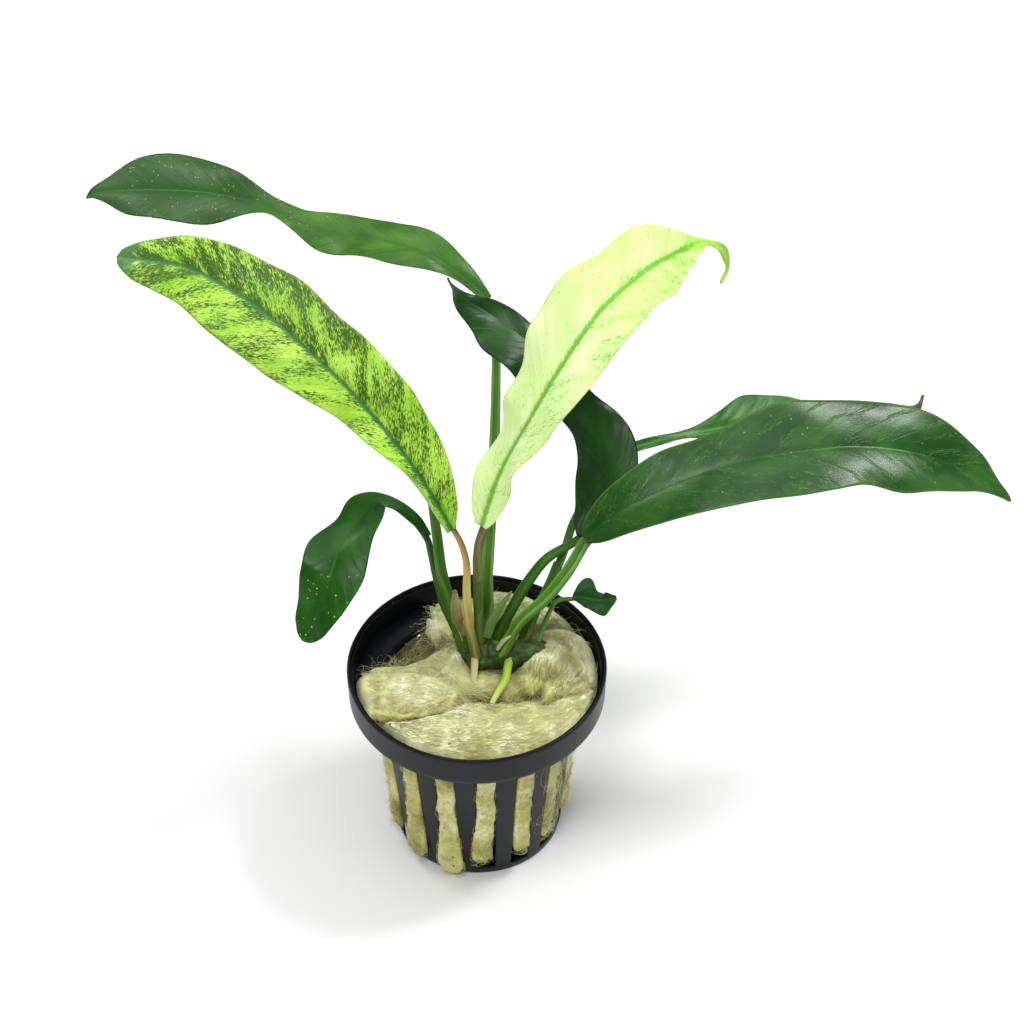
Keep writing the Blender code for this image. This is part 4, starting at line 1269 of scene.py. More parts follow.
STEMS = (
    Stem(
        "petiole_mottled", STEM_AMBER, slot="petiole_amber",
        path=((-0.8, -1.8, 54.6), (-1.7, -1.3, 60.5), (-2.0, -0.6, 68.5), (-2.0, 1.5, 75),
              (-3.0, 3.5, 78.5), (-4.6, 4.6, 80.4)),
        radii=((0, 1.0), (0.5, 0.9), (1, 0.6)), foot_depth=4.6, foot_flare=0.1,
        keel=0.1, seed=1.0),
    Stem(
        "petiole_pale", STEM_OLIVE, slot="petiole_olive",
        path=((0.6, 1.4, 54.4), (0.3, 1.6, 61.5), (0.2, 1.4, 71.5), (0.5, 2.0, 79), (0.8, 1.9, 84)),
        radii=((0, 1.1), (0.5, 1.0), (1, 1.0)), keel=0.12, seed=2.0),
    Stem(
        "petiole_long", STEM_LIGHT,
        path=((1.6, 5.4, 51.8), (2.1, 5.8, 57.5), (2.2, 8, 66.5), (2.7, 14, 72.5), (3.6, 26, 84),
              (4.0, 38, 96), (3.7, 46, 103), (2.8, 48.6, 106.4)),
        radii=((0, 1.2), (0.5, 1.2), (1, 0.8)), channel=0.6,
        keel=0.2, stations=140, seed=3.0),
    Stem(
        "petiole_dark", STEM_DARK,
        path=((5.2, 3.9, 54.2), (7.6, 4.1, 60), (10.8, 5.6, 66), (14.8, 8.2, 70.2),
              (20.8, 11.2, 72.6)),
        radii=((0, 1.2), (0.5, 1.2), (1, 0.9)), channel=0.4,
        keel=0.2, seed=4.0),
    Stem(
        "petiole_broad", STEM_LIGHT,
        path=((6.4, -1.4, 55.0), (9.0, -0.4, 60), (14.5, 1.6, 65), (19, 4.5, 70),
              (21.8, 7.5, 75.2)),
        radii=((0, 1.2), (0.5, 1.3), (1, 1.3)), channel=0.7,
        keel=0.35, seed=5.0),
    Stem(
        "petiole_far", STEM_DARK,
        path=((10.8, 2.8, 54.6), (12.4, 4.4, 58.5), (15.8, 7.6, 64.5), (18.2, 11, 69),
              (20.4, 16.2, 73), (25.5, 24, 77.6), (32.5, 29.6, 81.8)),
        radii=((0, 1.0), (0.5, 0.9), (1, 1.0)), channel=0.4,
        keel=0.3, seed=6.0),
    Stem(
        "petiole_drooping", STEM_DARK,
        path=((-4.6, 5.6, 51.4), (-7.1, 6.8, 58), (-8.8, 8.2, 66), (-9.7, 9.5, 71),
              (-9.8, 9.8, 74.2)),
        radii=((0, 0.9), (0.5, 0.9), (1, 0.7)), channel=0.4,
        keel=0.3, seed=7.0),
    Stem(
        "petiole_shaded", STEM_GREEN,
        path=((-3.6, 2.6, 53.0), (-5.5, 3.0, 61.5), (-7.3, 4.2, 70), (-8.3, 8, 78),
              (-10.2, 15.4, 83.4)),
        radii=((0, 1.2), (0.5, 1.2), (1, 0.9)), channel=0.3,
        keel=0.2, seed=8.0),
    Stem(
        "petiole_young", STEM_LIGHT,
        path=((14.0, 3.6, 54.2), (14.9, 5.2, 56.0), (16.8, 8.4, 57.2), (19.9, 11.7, 55.6)),
        radii=((0, 0.6), (0.5, 0.5), (1, 0.5)), keel=0.3, seed=9.0),
    Stem(
        "root_cream", ROOT_CREAM, slot="root_skin",
        path=((-0.6, -3.9, 49.4), (-0.7, -4.8, 48.2), (-0.9, -5.8, 46.7)),
        radii=((0, 0.8), (0.5, 0.8), (1, 0.7)), lumpiness=0.12, stations=40, seed=10.0),
    Stem(
        "root_green", ROOT_GREEN, slot="root_skin",
        path=((6.4, -4.3, 49.8), (6.0, -6.6, 48.8), (4.4, -9.4, 47.9), (3.0, -12.9, 47.9)),
        radii=((0, 0.9), (0.5, 0.9), (1, 0.5)), lumpiness=0.10, stations=60, seed=11.0),
)


@dataclass
class Plant:
    """The plant: its leaves, sheaths, stems, roots and rhizome."""

    def origin(self) -> Vector:
        """The plant's origin in the frame, in millimetres, as the mean over its leaves."""
        shifts = [blade.frame_shift() for blade in BLADES]
        return sum(shifts, Vector((0, 0, 0))) / len(shifts)

    def build(self) -> None:
        """Build every piece of the plant."""
        origin = self.origin()
        log.info("plant origin: %s", tuple(round(value, 2) for value in origin))
        Rhizome().build(origin)
        for stem in STEMS:
            stem.build(origin)
        for blade in (*BLADES, *SHEATHS):
            blade.build(origin)


# ---- The net pot


@dataclass
class NetPot:
    """The black pot: a slotted wall, a deep collar and a floor with drains."""

    collar_height: float = 7.5
    collar_foot_radius: float = 27.3
    collar_wall: float = 1.5
    body_top_radius: float = 22.0
    body_foot_radius: float = 18.3
    wall: float = 1.2
    slot_count: int = 15
    slot_width: float = 4.2
    slot_foot: float = 1.9
    first_slot_deg: float = -84.6
    rib_columns: int = 8
    drain_count: int = 8
    drain_width: float = 2.2
    drain_inner: float = 5.0
    drain_outer: float = 13.0
    floor_top: float = 1.4
    edge: float = 0.25

    SHARP_DEG = 50

    def __post_init__(self) -> None:
        """Read the pot's height and rim from the frame."""
        low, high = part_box("net_pot")
        self.height = high.z / MM
        self.rim_radius = (high.x - low.x) / 2 / MM
        self.ledge = self.height - self.collar_height
        self.slot_head = self.ledge - 0.5

    def wall_radius(self, z: float) -> float:
        """The wall's outer radius at a height."""
        share = z / self.ledge
        return self.body_foot_radius + (self.body_top_radius - self.body_foot_radius) * share

    def profile(self) -> list[tuple[float, float]]:
        """The outer surface's half section, from the foot up to the rim, as (radius, height)."""
        rows = [(self.body_foot_radius - 1.2, 0.0), (self.body_foot_radius - 0.3, 0.0),
                (self.body_foot_radius, 0.3)]
        heights = [self.slot_foot - 0.6, self.slot_foot]
        steps = 14
        for index in range(1, steps):
            heights.append(self.slot_foot + (self.slot_head - self.slot_foot) * index / steps)
        heights += [self.slot_head, self.ledge - 0.25]
        rows += [(self.wall_radius(z), z) for z in heights]
        rows += [(self.body_top_radius + 0.25, self.ledge),
                 (self.collar_foot_radius - 2.5, self.ledge),
                 (self.collar_foot_radius - 0.4, self.ledge),
                 (self.collar_foot_radius, self.ledge + 0.4)]
        collar_steps = 6
        for index in range(1, collar_steps):
            share = index / collar_steps
            radius = self.collar_foot_radius + (self.rim_radius - self.collar_foot_radius) * share
            rows.append((radius, self.ledge + self.collar_height * share))
        rows += [(self.rim_radius, self.height - 0.5), (self.rim_radius - 0.15, self.height - 0.12),
                 (self.rim_radius - 0.5, self.height)]
        return rows

    def column_angle(self, column: int, radius: float) -> float:
        """The angle of a column of the wall, where each slot is 2 columns of even width."""
        period, place = divmod(column, 2 + self.rib_columns)
        pitch = FULL_TURN / self.slot_count
        middle = math.radians(self.first_slot_deg) + period * pitch
        half_slot = math.asin(self.slot_width / 2 / radius)
        if place <= 2:
            return middle + (place - 1) * half_slot
        return middle + half_slot + (pitch - 2 * half_slot) * (place - 2) / self.rib_columns

    def build(self) -> bpy.types.Object:
        """Build the pot."""
        rows = self.profile()
        period = 2 + self.rib_columns

        def is_slot(column: int, row: int) -> bool:
            """Whether a face of the wall is part of a slot."""
            return (column % period < 2 and rows[row][1] >= self.slot_foot - 0.01
                    and rows[row + 1][1] <= self.slot_head + 0.01)

        form, places = cut_grid(self.slot_count * period, len(rows) - 1, is_slot)
        for vertex, (column, row) in places.items():
            radius, z = rows[row]
            vertex.co = polar(radius, self.column_angle(column, radius), z) * MM
        join_seams(form)
        outermost = max(form.faces, key=lambda face: face.calc_center_median().xy.length)
        self.thicken(form, outermost.normal.dot(outermost.calc_center_median()) < 0)
        floor = self.floor()
        mesh = bpy.data.meshes.new("pot_floor")
        floor.to_mesh(mesh)
        floor.free()
        form.from_mesh(mesh)
        bpy.data.meshes.remove(mesh)
        piece = hand_over(form, "slotted_pot", [PlasticFinish().make()], ["net_pot"], "pot_plastic")
        piece.data.set_sharp_from_angle(angle=math.radians(self.SHARP_DEG))
        soften = piece.modifiers.new("edges", "BEVEL")
        soften.width = self.edge * MM
        soften.segments = 2
        soften.limit_method = "ANGLE"
        soften.angle_limit = math.radians(self.SHARP_DEG)
        return piece

    def thicken(self, form: bmesh.types.BMesh, is_inside_out: bool) -> None:
        """Give a sheet its wall behind its outer faces, after it is turned the right way."""
        if is_inside_out:
            bmesh.ops.reverse_faces(form, faces=form.faces[:])
        bmesh.ops.solidify(form, geom=form.faces[:], thickness=self.wall * MM)

    def floor(self) -> bmesh.types.BMesh:
        """The pot's floor: a disc with its drains cut out."""
        rings = (0.6, self.drain_inner, 7.0, 9.0, 11.0, self.drain_outer, 15.0,
                 self.body_foot_radius - self.wall - 0.05)
        per_drain = 8
        pitch = FULL_TURN / self.drain_count

        def is_drain(column: int, ring: int) -> bool:
            """Whether a face of the floor is part of a drain."""
            return (column % per_drain < 2
                    and self.drain_inner <= rings[ring] < self.drain_outer)

        form, places = cut_grid(self.drain_count * per_drain, len(rings) - 1, is_drain)
        for vertex, (column, ring) in places.items():
            radius = rings[ring]
            period, place = divmod(column, per_drain)
            half = math.asin(min(self.drain_width / 2 / radius, 0.9))
            if radius < self.drain_inner:
                half = pitch / per_drain
            angle = period * pitch + (place - 1) * half
            if place > 2:
                angle = period * pitch + half + (pitch - 2 * half) * (place - 2) / (per_drain - 2)
            vertex.co = polar(radius, angle, self.floor_top) * MM
        bmesh.ops.remove_doubles(form, verts=form.verts, dist=MERGE)
        rim = [edge for edge in form.edges if edge.is_boundary
               and all(vertex.co.xy.length < 1.0 * MM for vertex in edge.verts)]
        bmesh.ops.holes_fill(form, edges=rim, sides=0)
        bmesh.ops.recalc_face_normals(form, faces=form.faces)
        self.thicken(form, form.faces[0].normal.z < 0)
        return form


# ---- The stone wool


class WoolMap:
    """The top of the wool as a square lattice, whose layers are read at any place."""

    def __init__(self, reach: float, points: int) -> None:
        """Lay out the lattice.

        Args:
            reach: how far it reaches from the middle, in millimetres.
            points: how many points it has along each side.
        """
        self.reach = reach
        self.points = points
        line = np.linspace(-reach, reach, points)
        self.x, self.y = np.meshgrid(line, line, indexing="ij")
        self.layers: dict[str, np.ndarray] = {}

    def noise(self, scale_x: float, scale_y: float, level: float, x: np.ndarray | None = None,
              y: np.ndarray | None = None) -> np.ndarray:
        """Smooth noise over the lattice, or over two other coordinates given for its points."""
        x = (self.x if x is None else x).ravel() / scale_x
        y = (self.y if y is None else y).ravel() / scale_y
        values = [noise.noise(Vector((first, second, level))) for first, second in zip(x, y)]
        return np.reshape(values, self.x.shape)

    @staticmethod
    def blurred(values: np.ndarray, rounds: int) -> np.ndarray:
        """The values smoothed by a number of rounds of averaging."""
        for _ in range(rounds):
            padded = np.pad(values, 1, mode="edge")
            values = (padded[:-2, 1:-1] + padded[2:, 1:-1] + padded[1:-1, :-2]
                      + padded[1:-1, 2:]) / 4
        return values

    def read(self, layer: str, x: Places, y: Places) -> np.ndarray:
        """A layer's values at places in millimetres."""
        values = self.layers[layer]
        last = self.points - 1
        column, row = (np.clip((np.asarray(line) / self.reach + 1) / 2 * last, 0, last - 0.001)
                       for line in (x, y))
        i, j = column.astype(int), row.astype(int)
        a, b = column - i, row - j
        return ((values[i, j] * (1 - a) + values[i + 1, j] * a) * (1 - b)
                + (values[i, j + 1] * (1 - a) + values[i + 1, j + 1] * a) * b)


def nearest_on(path: Sequence[Sequence[float]], x: np.ndarray,
               y: np.ndarray) -> tuple[np.ndarray, ...]:
    """The nearest points of a path, seen from above, to many places.

    Args:
        path: the path's points, with a height as the third coordinate where they have one.
        x: the places' first coordinates.
        y: the places' second coordinates.

    Returns:
        The distances, signed by side, the path's heights, lengths so far and headings.
    """
    away = np.full(x.shape, 1e9)
    height, along, heading = np.zeros(x.shape), np.zeros(x.shape), np.zeros(x.shape)
    so_far = 0.0
    for start, end in zip(path, path[1:]):
        run_x, run_y = end[0] - start[0], end[1] - start[1]
        size = math.hypot(run_x, run_y)
        share = np.clip(((x - start[0]) * run_x + (y - start[1]) * run_y) / size ** 2, 0, 1)
        off_x = x - start[0] - run_x * share
        off_y = y - start[1] - run_y * share
        gap = np.copysign(np.hypot(off_x, off_y), run_x * off_y - run_y * off_x)
        nearer = np.abs(gap) < np.abs(away)
        away = np.where(nearer, gap, away)
        height = np.where(nearer, start[-1] + (end[-1] - start[-1]) * share, height)
        along = np.where(nearer, so_far + size * share, along)
        heading = np.where(nearer, math.atan2(run_y, run_x), heading)
        so_far += size
    return away, height, along, heading


@dataclass(frozen=True)
class Fold:
    """A rounded roll of wool, whose path's third coordinate is its crest, or a narrow valley."""

    path: tuple[tuple[float, ...], ...]
    width: float
    depth: float


class Patch(NamedTuple):
    """A round patch of the wool's top: its middle, its size and its strength."""

    x: float
    y: float
    size: float
    strength: float

    def over(self, x: np.ndarray, y: np.ndarray) -> np.ndarray:
        """How strongly the patch covers many places."""
        return self.strength * np.exp(-((x - self.x) ** 2 + (y - self.y) ** 2) / self.size ** 2)


@dataclass(frozen=True)
class Tongue:
    """The wool in one slot: how low it comes, bulges, leans and widens, and its gap at the top."""

    low: float
    bulge: float
    lean: float
    flare: float
    top_gap: float = 0.0


@dataclass
class StoneWool:
    """The wool plug: its folded top, the tongues that fill the slots, and its loose fibres."""

    pot: NetPot
    folds: tuple[Fold, ...] = (
        Fold(((-21, -10.5, 43.4), (-14.5, -17.0, 45.4), (-6, -19, 46.6), (2, -19, 46.6),
              (10, -17, 45.8), (17, -12, 45.0), (21.5, -5, 44.4)), 7.2, 6.0),
        Fold(((-12, -13.6, 45.0), (-4, -12.6, 45.9), (4, -13, 45.8), (12, -10.8, 44.8)), 5.2, 4.5),
        Fold(((-24.5, -2.5, 43.8), (-18, -4.6, 46.4), (-11, -5.4, 46.4), (-5.0, -5.6, 45.0)),
             6.3, 6.5),
        Fold(((-20, 2.0, 43.6), (-13, 2.4, 44.8), (-8, 1.4, 45.0)), 4.4, 4.4),
        Fold(((-6, 17, 44.0), (3, 20.5, 45.8), (11, 20, 45.6), (17, 16.5, 44.8)), 5.5, 5.0),
        Fold(((-14, 20.5, 44.6), (-10.5, 17.5, 45.4), (-8, 13, 44.2)), 3.6, 5.0),
        Fold(((23.2, 2, 45.2), (21.5, 7, 46.4), (17, 11.5, 45.4)), 5.6, 5.6),
        Fold(((15, -5, 44.8), (18.5, 0, 45.6), (17, 5, 45.6)), 4.6, 4.2),
        Fold(((-9, 5, 44.2), (-4, 8, 44.6), (3, 9.5, 44.2), (10, 8, 44.4)), 5.0, 3.6),
        Fold(((-8.5, 3.6, 46.0), (-5.6, 2.2, 47.0), (-4.0, -1.4, 45.6)), 3.6, 4.0),
        Fold(((-5.5, -2.4, 43.6), (0, -2.6, 43.9), (8, -3.4, 44.0)), 5.0, 3.0),
        Fold(((11.5, -2.5, 45.8), (13.6, 1.8, 48.4), (15.5, 5.5, 48.0), (16, 9.5, 46.0)), 4.4, 5.0),
    )
    creases: tuple[Fold, ...] = (
        Fold(((-22, -11.8), (-16, -13.0), (-11, -12.3), (-5, -10.2), (-1.4, -6.0)), 0.9, 4.0),
        Fold(((-21.5, -12.5), (-18.9, -16.6), (-15.5, -20.5)), 0.9, 4.2),
        Fold(((12, 13.6), (18.5, 13.5), (23.5, 10.5)), 1.0, 4.0),
        Fold(((-2, -6.4), (4, -6.8), (9, -6.2), (13, -6.4)), 1.6, 2.0),
        Fold(((-7, 13), (-3, 13.5), (4, 14.8), (9, 15)), 1.3, 2.4),
        Fold(((14, -8.4), (19, -6.5), (23.5, -3)), 1.0, 1.2),
        Fold(((3, -10.5), (9, -14.5), (12, -18.5)), 1.8, 0.7),
    )
    stains: tuple[Patch, ...] = tuple(Patch(*row) for row in (
        (-19.5, -15.5, 3.2, 1.0), (-14, -12, 2.6, 0.8), (-8, -10.5, 2.6, 0.8),
        (-2.5, -7, 3.0, 0.9), (0, -24.5, 6.5, 0.8), (-10, -24, 5.0, 0.8), (11, -22, 4.5, 0.6),
        (4, -3, 6.0, 0.7), (6, -9, 4.5, 0.55), (19, -9, 5.5, 0.6), (19.5, 12.0, 4.0, 0.9),
        (12, 12, 4.0, 0.7), (3, 15, 5.5, 0.7), (-9, 9, 5.0, 0.6), (-19, -9.5, 3.0, 0.5),
        (10, 4, 4.5, 0.5), (14, -4.5, 3.5, 0.5)))
    # Painted highlights: round patches where the crests are lit.
    gleams: tuple[Patch, ...] = tuple(Patch(*row) for row in (
        (-8, -16.5, 6.0, 1.0), (0, -16, 5.0, 0.7), (-14, -5, 4.5, 0.8), (-8, -4.5, 3.0, 0.6),
        (22, 5, 4.5, 1.0), (15.5, 17.5, 4.0, 1.0), (-11, 17, 4.0, 0.9), (9, -19, 3.5, 0.8),
        (2, 21, 4.0, 0.5), (14, 3, 3.0, 0.4)))
    ground: float = 41.4
    foot: float = 2.2
    wall_gap: float = 0.15
    pocket_depth: float = 9.0
    void_angle_deg: float = 145.0
    top_steps: int = 180
    lattice: int = 230
    top_fibres: int = 7400
    slot_fibres: int = 7000
    stray_fibres: int = 620
    tongues: dict[int, Tongue] = field(default_factory=lambda: {
        12: Tongue(3.0, 1.3, -0.5, 0.45), 13: Tongue(1.3, 1.5, -0.4, 0.7),
        14: Tongue(0.15, 1.7, 0.3, 0.75), 0: Tongue(4.2, 0.9, -1.1, 0.30, 0.9),
        1: Tongue(4.8, 0.8, 0.2, -0.15), 2: Tongue(3.6, -0.1, 0.4, 0.1, 1.2)})

    def __post_init__(self) -> None:
        """Find the wool's edges, map its top and choose the hidden slots' tongues."""
        self.edge_radius = self.pot.rim_radius - self.pot.collar_wall - 0.3
        self.void_radius = self.pot.wall_radius(self.pot.ledge) - self.pot.wall - self.wall_gap
        chooser = random.Random(7)
        for slot in range(self.pot.slot_count):
            chosen = Tongue(chooser.choice((0.6, 2.5, 4.5, 6.0)), chooser.uniform(0.7, 1.5),
                            chooser.uniform(-0.6, 0.6), chooser.uniform(-0.1, 0.5))
            self.tongues.setdefault(slot, chosen)
        self.top = self.map_top()

    def edge_at(self, angle: Places) -> Places:
        """The radius of the top's edge in a direction, less where the wool leaves a void."""
        ragged = 0.012 * np.sin(angle * 37) + 0.010 * np.sin(angle * 61 + 1.3)
        ragged = ragged + 0.008 * np.sin(angle * 97)
        facing = np.cos(angle - math.radians(self.void_angle_deg)) + ragged
        facing = np.clip((facing - 0.83) / 0.10, 0, 1)
        retreat = (self.edge_radius - self.void_radius) * facing ** 2 * (3 - 2 * facing)
        return self.edge_radius - retreat

    def map_top(self) -> WoolMap:
        """Map the top's height, grain, stains, painted crease shade and painted crest highlights.
        """
        top = WoolMap(self.edge_radius + 0.4, self.lattice)
        x = top.x + 1.4 * top.noise(6.5, 6.5, 1.0) + 0.35 * top.noise(1.7, 1.7, 8.0)
        y = top.y + 1.4 * top.noise(6.5, 6.5, 2.0) + 0.35 * top.noise(1.7, 1.7, 9.0)
        height = self.ground + 0.9 * top.noise(7.0, 7.0, 3.0)
        along, across, heading = x, y, np.full(x.shape, 0.4)
        for number, fold in enumerate(self.folds):
            away, crest, far, turn = nearest_on(fold.path, x, y)
            share = np.clip(np.abs(away) / fold.width, 0, 1)
            level = np.where(share < 1, crest - fold.depth * (1 - np.sqrt(1 - share ** 2)), -1e9)
            over = level > height
            height = np.where(over, level, height)
            along = np.where(over, far + 40.0 * number, along)
            across = np.where(over, away, across)
            heading = np.where(over, turn, heading)
        height = top.blurred(height, 3)
        for crease in self.creases:
            away = nearest_on(crease.path, x, y)[0]
            height = height - crease.depth * np.exp(-(away / crease.width) ** 2)
        pocket = np.exp(-(((x + 16.5) / 7.5) ** 2 + ((y - 12.0) / 7.5) ** 2) ** 1.6)
        height = height - self.pocket_depth * pocket
        combed = top.noise(7.0, 0.9, 5.0, along, across)
        combed = combed + 0.6 * top.noise(4.0, 0.42, 6.0, along, across)
        lumps = top.noise(3.4, 3.4, 5.0) + 0.5 * top.noise(1.6, 1.6, 6.0)
        height = height + 0.13 * combed + 0.32 * lumps
        limit = self.edge_at(np.arctan2(top.y, top.x))
        past = np.clip(np.hypot(top.x, top.y) / limit - 0.91, 0, 0.1)
        height = height - 2.2 * (past / 0.09) ** 2
        height = np.where(limit > self.void_radius + 1.0, np.maximum(height, self.pot.ledge + 1.6),
                          np.maximum(height, self.pot.ledge - 0.6))
        # Painted shade: the further a place sinks below its surroundings, or into the back pocket,
        # the darker.
        around = top.blurred(height, 260)
        nearby = top.blurred(height, 36)
        hollow = np.clip((around - height) / 2.7 + (nearby - height) / 1.1, -0.3, 1)
        hollow = hollow + 0.9 * np.clip(pocket * 1.3, 0, 1)
        top.layers = {
            "height": height, "along": along, "across": across,
            "turn_x": np.cos(heading), "turn_y": np.sin(heading), "hollow": np.clip(hollow, 0, 1),
            "stain": np.clip(sum(patch.over(x, y) for patch in self.stains), 0, 1),
            # The gleam layer is a painted highlight: the patches above, plus crests that stand
            # above their surroundings.
            "gleam": np.clip(sum(patch.over(x, y) for patch in self.gleams)
                             + 0.4 * np.clip(height - around, 0, 1.5) - 0.3 * combed, 0, 1)}
        return top

    def build_top(self) -> bpy.types.Object:
        """Build the plug: a disc with the folded top, drawn down to the pot's foot."""
        form = bmesh.new()
        bmesh.ops.create_grid(form, x_segments=self.top_steps, y_segments=self.top_steps, size=1.0)
        marks = {name: form.verts.layers.float.new(name) for name in ("hollow", "stain", "gleam")}
        points = np.array([vertex.co.xy for vertex in form.verts])
        x = points[:, 0] * np.sqrt(1 - points[:, 1] ** 2 / 2)
        y = points[:, 1] * np.sqrt(1 - points[:, 0] ** 2 / 2)
        limit = self.edge_at(np.arctan2(y, x))
        x, y = x * limit, y * limit
        values = {name: self.top.read(name, x, y) for name in self.top.layers}
        grain = {}
        for index, vertex in enumerate(form.verts):
            vertex.co = Vector((x[index], y[index], values["height"][index])) * MM
            for name, layer in marks.items():
                vertex[layer] = values[name][index]
            grain[vertex] = ((values["along"][index], values["across"][index]),)
        write_maps(form, ["wool_mm"], grain)
        self.draw_down(form, marks["hollow"])
        bmesh.ops.recalc_face_normals(form, faces=form.faces)
        return hand_over(form, "wool_plug", [WoolFinish("wool_plug", "wool_mm").make()],
                         ["stone_wool"], "wool_fibre")

    def draw_down(self, form: bmesh.types.BMesh, hollow: bmesh.types.BMLayerItem) -> None:
        """Extrude the disc's edge down inside the pot, its sides painted as shade, and close it at
        the foot.
        """
        inner = self.pot.wall + self.wall_gap
        levels = [(self.edge_radius, self.pot.ledge + 1.5),
                  (self.void_radius, self.pot.ledge - 0.7)]
        for z, tuck in ((32.0, 0.1), (24.0, 0.2), (16.0, 0.3), (10.0, 0.5), (7.0, 1.0), (4.5, 2.6),
                        (3.0, 5.0), (self.foot, 8.5)):
            levels.append((self.pot.wall_radius(z) - inner - tuck, z))
        edges = [edge for edge in form.edges if edge.is_boundary]
        for radius, z in levels:
            made = bmesh.ops.extrude_edge_only(form, edges=edges)["geom"]
            edges = [item for item in made if isinstance(item, bmesh.types.BMEdge)]
            for vertex in {vertex for edge in edges for vertex in edge.verts}:
                out = vertex.co.xy.normalized()
                angle = math.atan2(out.y, out.x)
                reach = min(radius, float(self.edge_at(angle)))
                reach -= abs(noise.noise(Vector((out.x * 4, out.y * 4, z / 5)))) * 0.5
                level = min(z, vertex.co.z / MM - 0.15)
                vertex.co = Vector((out.x * reach, out.y * reach, level)) * MM
                # Painted shade: the sides down inside the pot are painted dark.
                vertex[hollow] = 0.9
        bmesh.ops.contextual_create(form, geom=edges)

    def tongue_point(self, slot: int, across: float, down: float, out: float) -> Vector:
        """A point of a tongue of wool, in millimetres.

        Args:
            slot: the slot's number.
            across: from -1 to 1 over the slot's width.
            down: from 0 at the slot's head to 1 at the tongue's end.
            out: from -1 inside to 1 at the outer face.

        Returns:
            The point in the pot's frame.
        """
        tongue = self.tongues[slot]
        top = self.pot.slot_head - 0.1 - tongue.top_gap
        z = top + (tongue.low - top) * down
        middle = math.radians(self.pot.first_slot_deg) + slot * FULL_TURN / self.pot.slot_count
        wall = self.pot.wall_radius(max(z, 0.0))
        sag = ease(down, 0.45, 1.0)
        rough = noise.fractal(Vector((across * 2.0, z / 1.2, slot * 3.1)), 0.7, 2.1, 4)
        swell = noise.noise(Vector((z / 6.5, slot * 2.0, 0.0)))
        half = (self.pot.slot_width / 2 - 0.1) * (1 + 0.07 * swell + 0.10 * rough)
        half += tongue.flare * sag * 1.1
        depth = -0.8
        if out > 0:
            depth = tongue.bulge * (0.4 + 0.6 * sag) + 0.55 * rough + 0.35 * swell
        rest = wall - 0.9 + max(tongue.flare, 0.0) * sag * 2.0
        radius = rest + (wall + depth - rest if out > 0 else depth) * abs(out)
        shift = across * half + tongue.lean * sag
        shift += 0.35 * noise.noise(Vector((z / 5.0, slot * 1.7, 4.0)))
        outward = polar(1.0, middle)
        sideways = Vector((-outward.y, outward.x, 0))
        return outward * radius + sideways * shift + Vector((0, 0, z))

    def build_tongues(self) -> bpy.types.Object:
        """Build the tongues: a closed pillow of wool in each slot."""
        form = bmesh.new()
        hollow = form.verts.layers.float.new("hollow")
        stain = form.verts.layers.float.new("stain")
        for slot in range(self.pot.slot_count):
            made = bmesh.ops.create_uvsphere(form, u_segments=36, v_segments=80, radius=1.0)
            for vertex in made["verts"]:
                side, out, up = vertex.co
                ring = math.sqrt(max(1 - up * up, 0.0))
                down = (1 - math.copysign(abs(up) ** 2.2, up)) / 2
                end = min(ring * 2.6, 1.0) ** 0.8
                share = math.hypot(side, out) or 1.0
                across = math.copysign(abs(side / share) ** 0.75, side) * end
                outward = math.copysign(abs(out / share) ** 0.65, out) * end
                vertex.co = self.tongue_point(slot, across, down, outward) * MM
                spot = noise.noise(vertex.co * 260)
                # Painted shade: darker toward each tongue's top under the collar and the underside
                # of its end, in patches.
                vertex[hollow] = 0.12 + 0.35 * spot + 0.45 * (1 - end)
                vertex[stain] = 0.18 + 0.8 * noise.noise(vertex.co * 160) + 0.30 * down ** 2
        join_seams(form, MERGE / 10)
        return hand_over(form, "wool_tongues", [WoolFinish("wool_tongues", "").make()], [],
                         "wool_fibre")

    def build_fibres(self) -> None:
        """Build the loose fibres on the top, on the tongues and standing off the wool."""
        chooser = np.random.default_rng(11)
        self.join_strands("wool_top_fibres", self.lying_strands(chooser), 3)
        dice = random.Random(11)
        strands = [self.tongue_strand(dice, dice.randrange(self.pot.slot_count))
                   for _ in range(self.slot_fibres)]
        self.join_strands("wool_slot_fibres", strands, 5)
        strands = [self.stray_strand(dice) for _ in range(self.stray_fibres)]
        self.join_strands("wool_stray_fibres", strands, 7)

    def lying_strands(self, chooser: np.random.Generator) -> list["Strand"]:
        """The fibres that lie on the top and follow its folds."""
        count = self.top_fibres
        angle = chooser.uniform(0, FULL_TURN, count)
        radius = np.sqrt(chooser.uniform(0, 1, count)) * (self.edge_at(angle) - 0.5)
        x, y = radius * np.cos(angle), radius * np.sin(angle)
        # The fibres take the painted crease shade of their bed.
        depth = self.top.read("hollow", x, y)
        stain = self.top.read("stain", x, y)
        length = chooser.uniform(4.0, 13.0, count)
        lift = np.abs(chooser.normal(0, 0.30, count))
        skew = chooser.normal(0, 0.30, count)
        wild = chooser.random(count) < 0.18
        skew = np.where(wild, chooser.normal(0, 1.2, count), skew)
        bend = chooser.normal(0, 0.16, count)
        points = []
        steps = STRAND_POINTS - 1
        for index in range(STRAND_POINTS):
            rise = 0.02 + lift * (index / steps) ** 2
            points.append(np.stack([x, y, self.top.read("height", x, y) + rise], axis=1))
            turn = np.arctan2(self.top.read("turn_y", x, y), self.top.read("turn_x", x, y))
            turn = turn + skew + bend * index
            x = x + np.cos(turn) * length / steps
            y = y + np.sin(turn) * length / steps
            reach = np.hypot(x, y)
            inside = np.minimum(1.0, (self.edge_at(np.arctan2(y, x)) - 0.2) / reach)
            x, y = x * inside, y * inside
        routes = np.stack(points, axis=1)
        girth = chooser.uniform(0.020, 0.044, count)
        return [Strand([Vector(point) for point in route], float(width), float(hollow), float(tone))
                for route, width, hollow, tone in zip(routes, girth, depth, stain)]

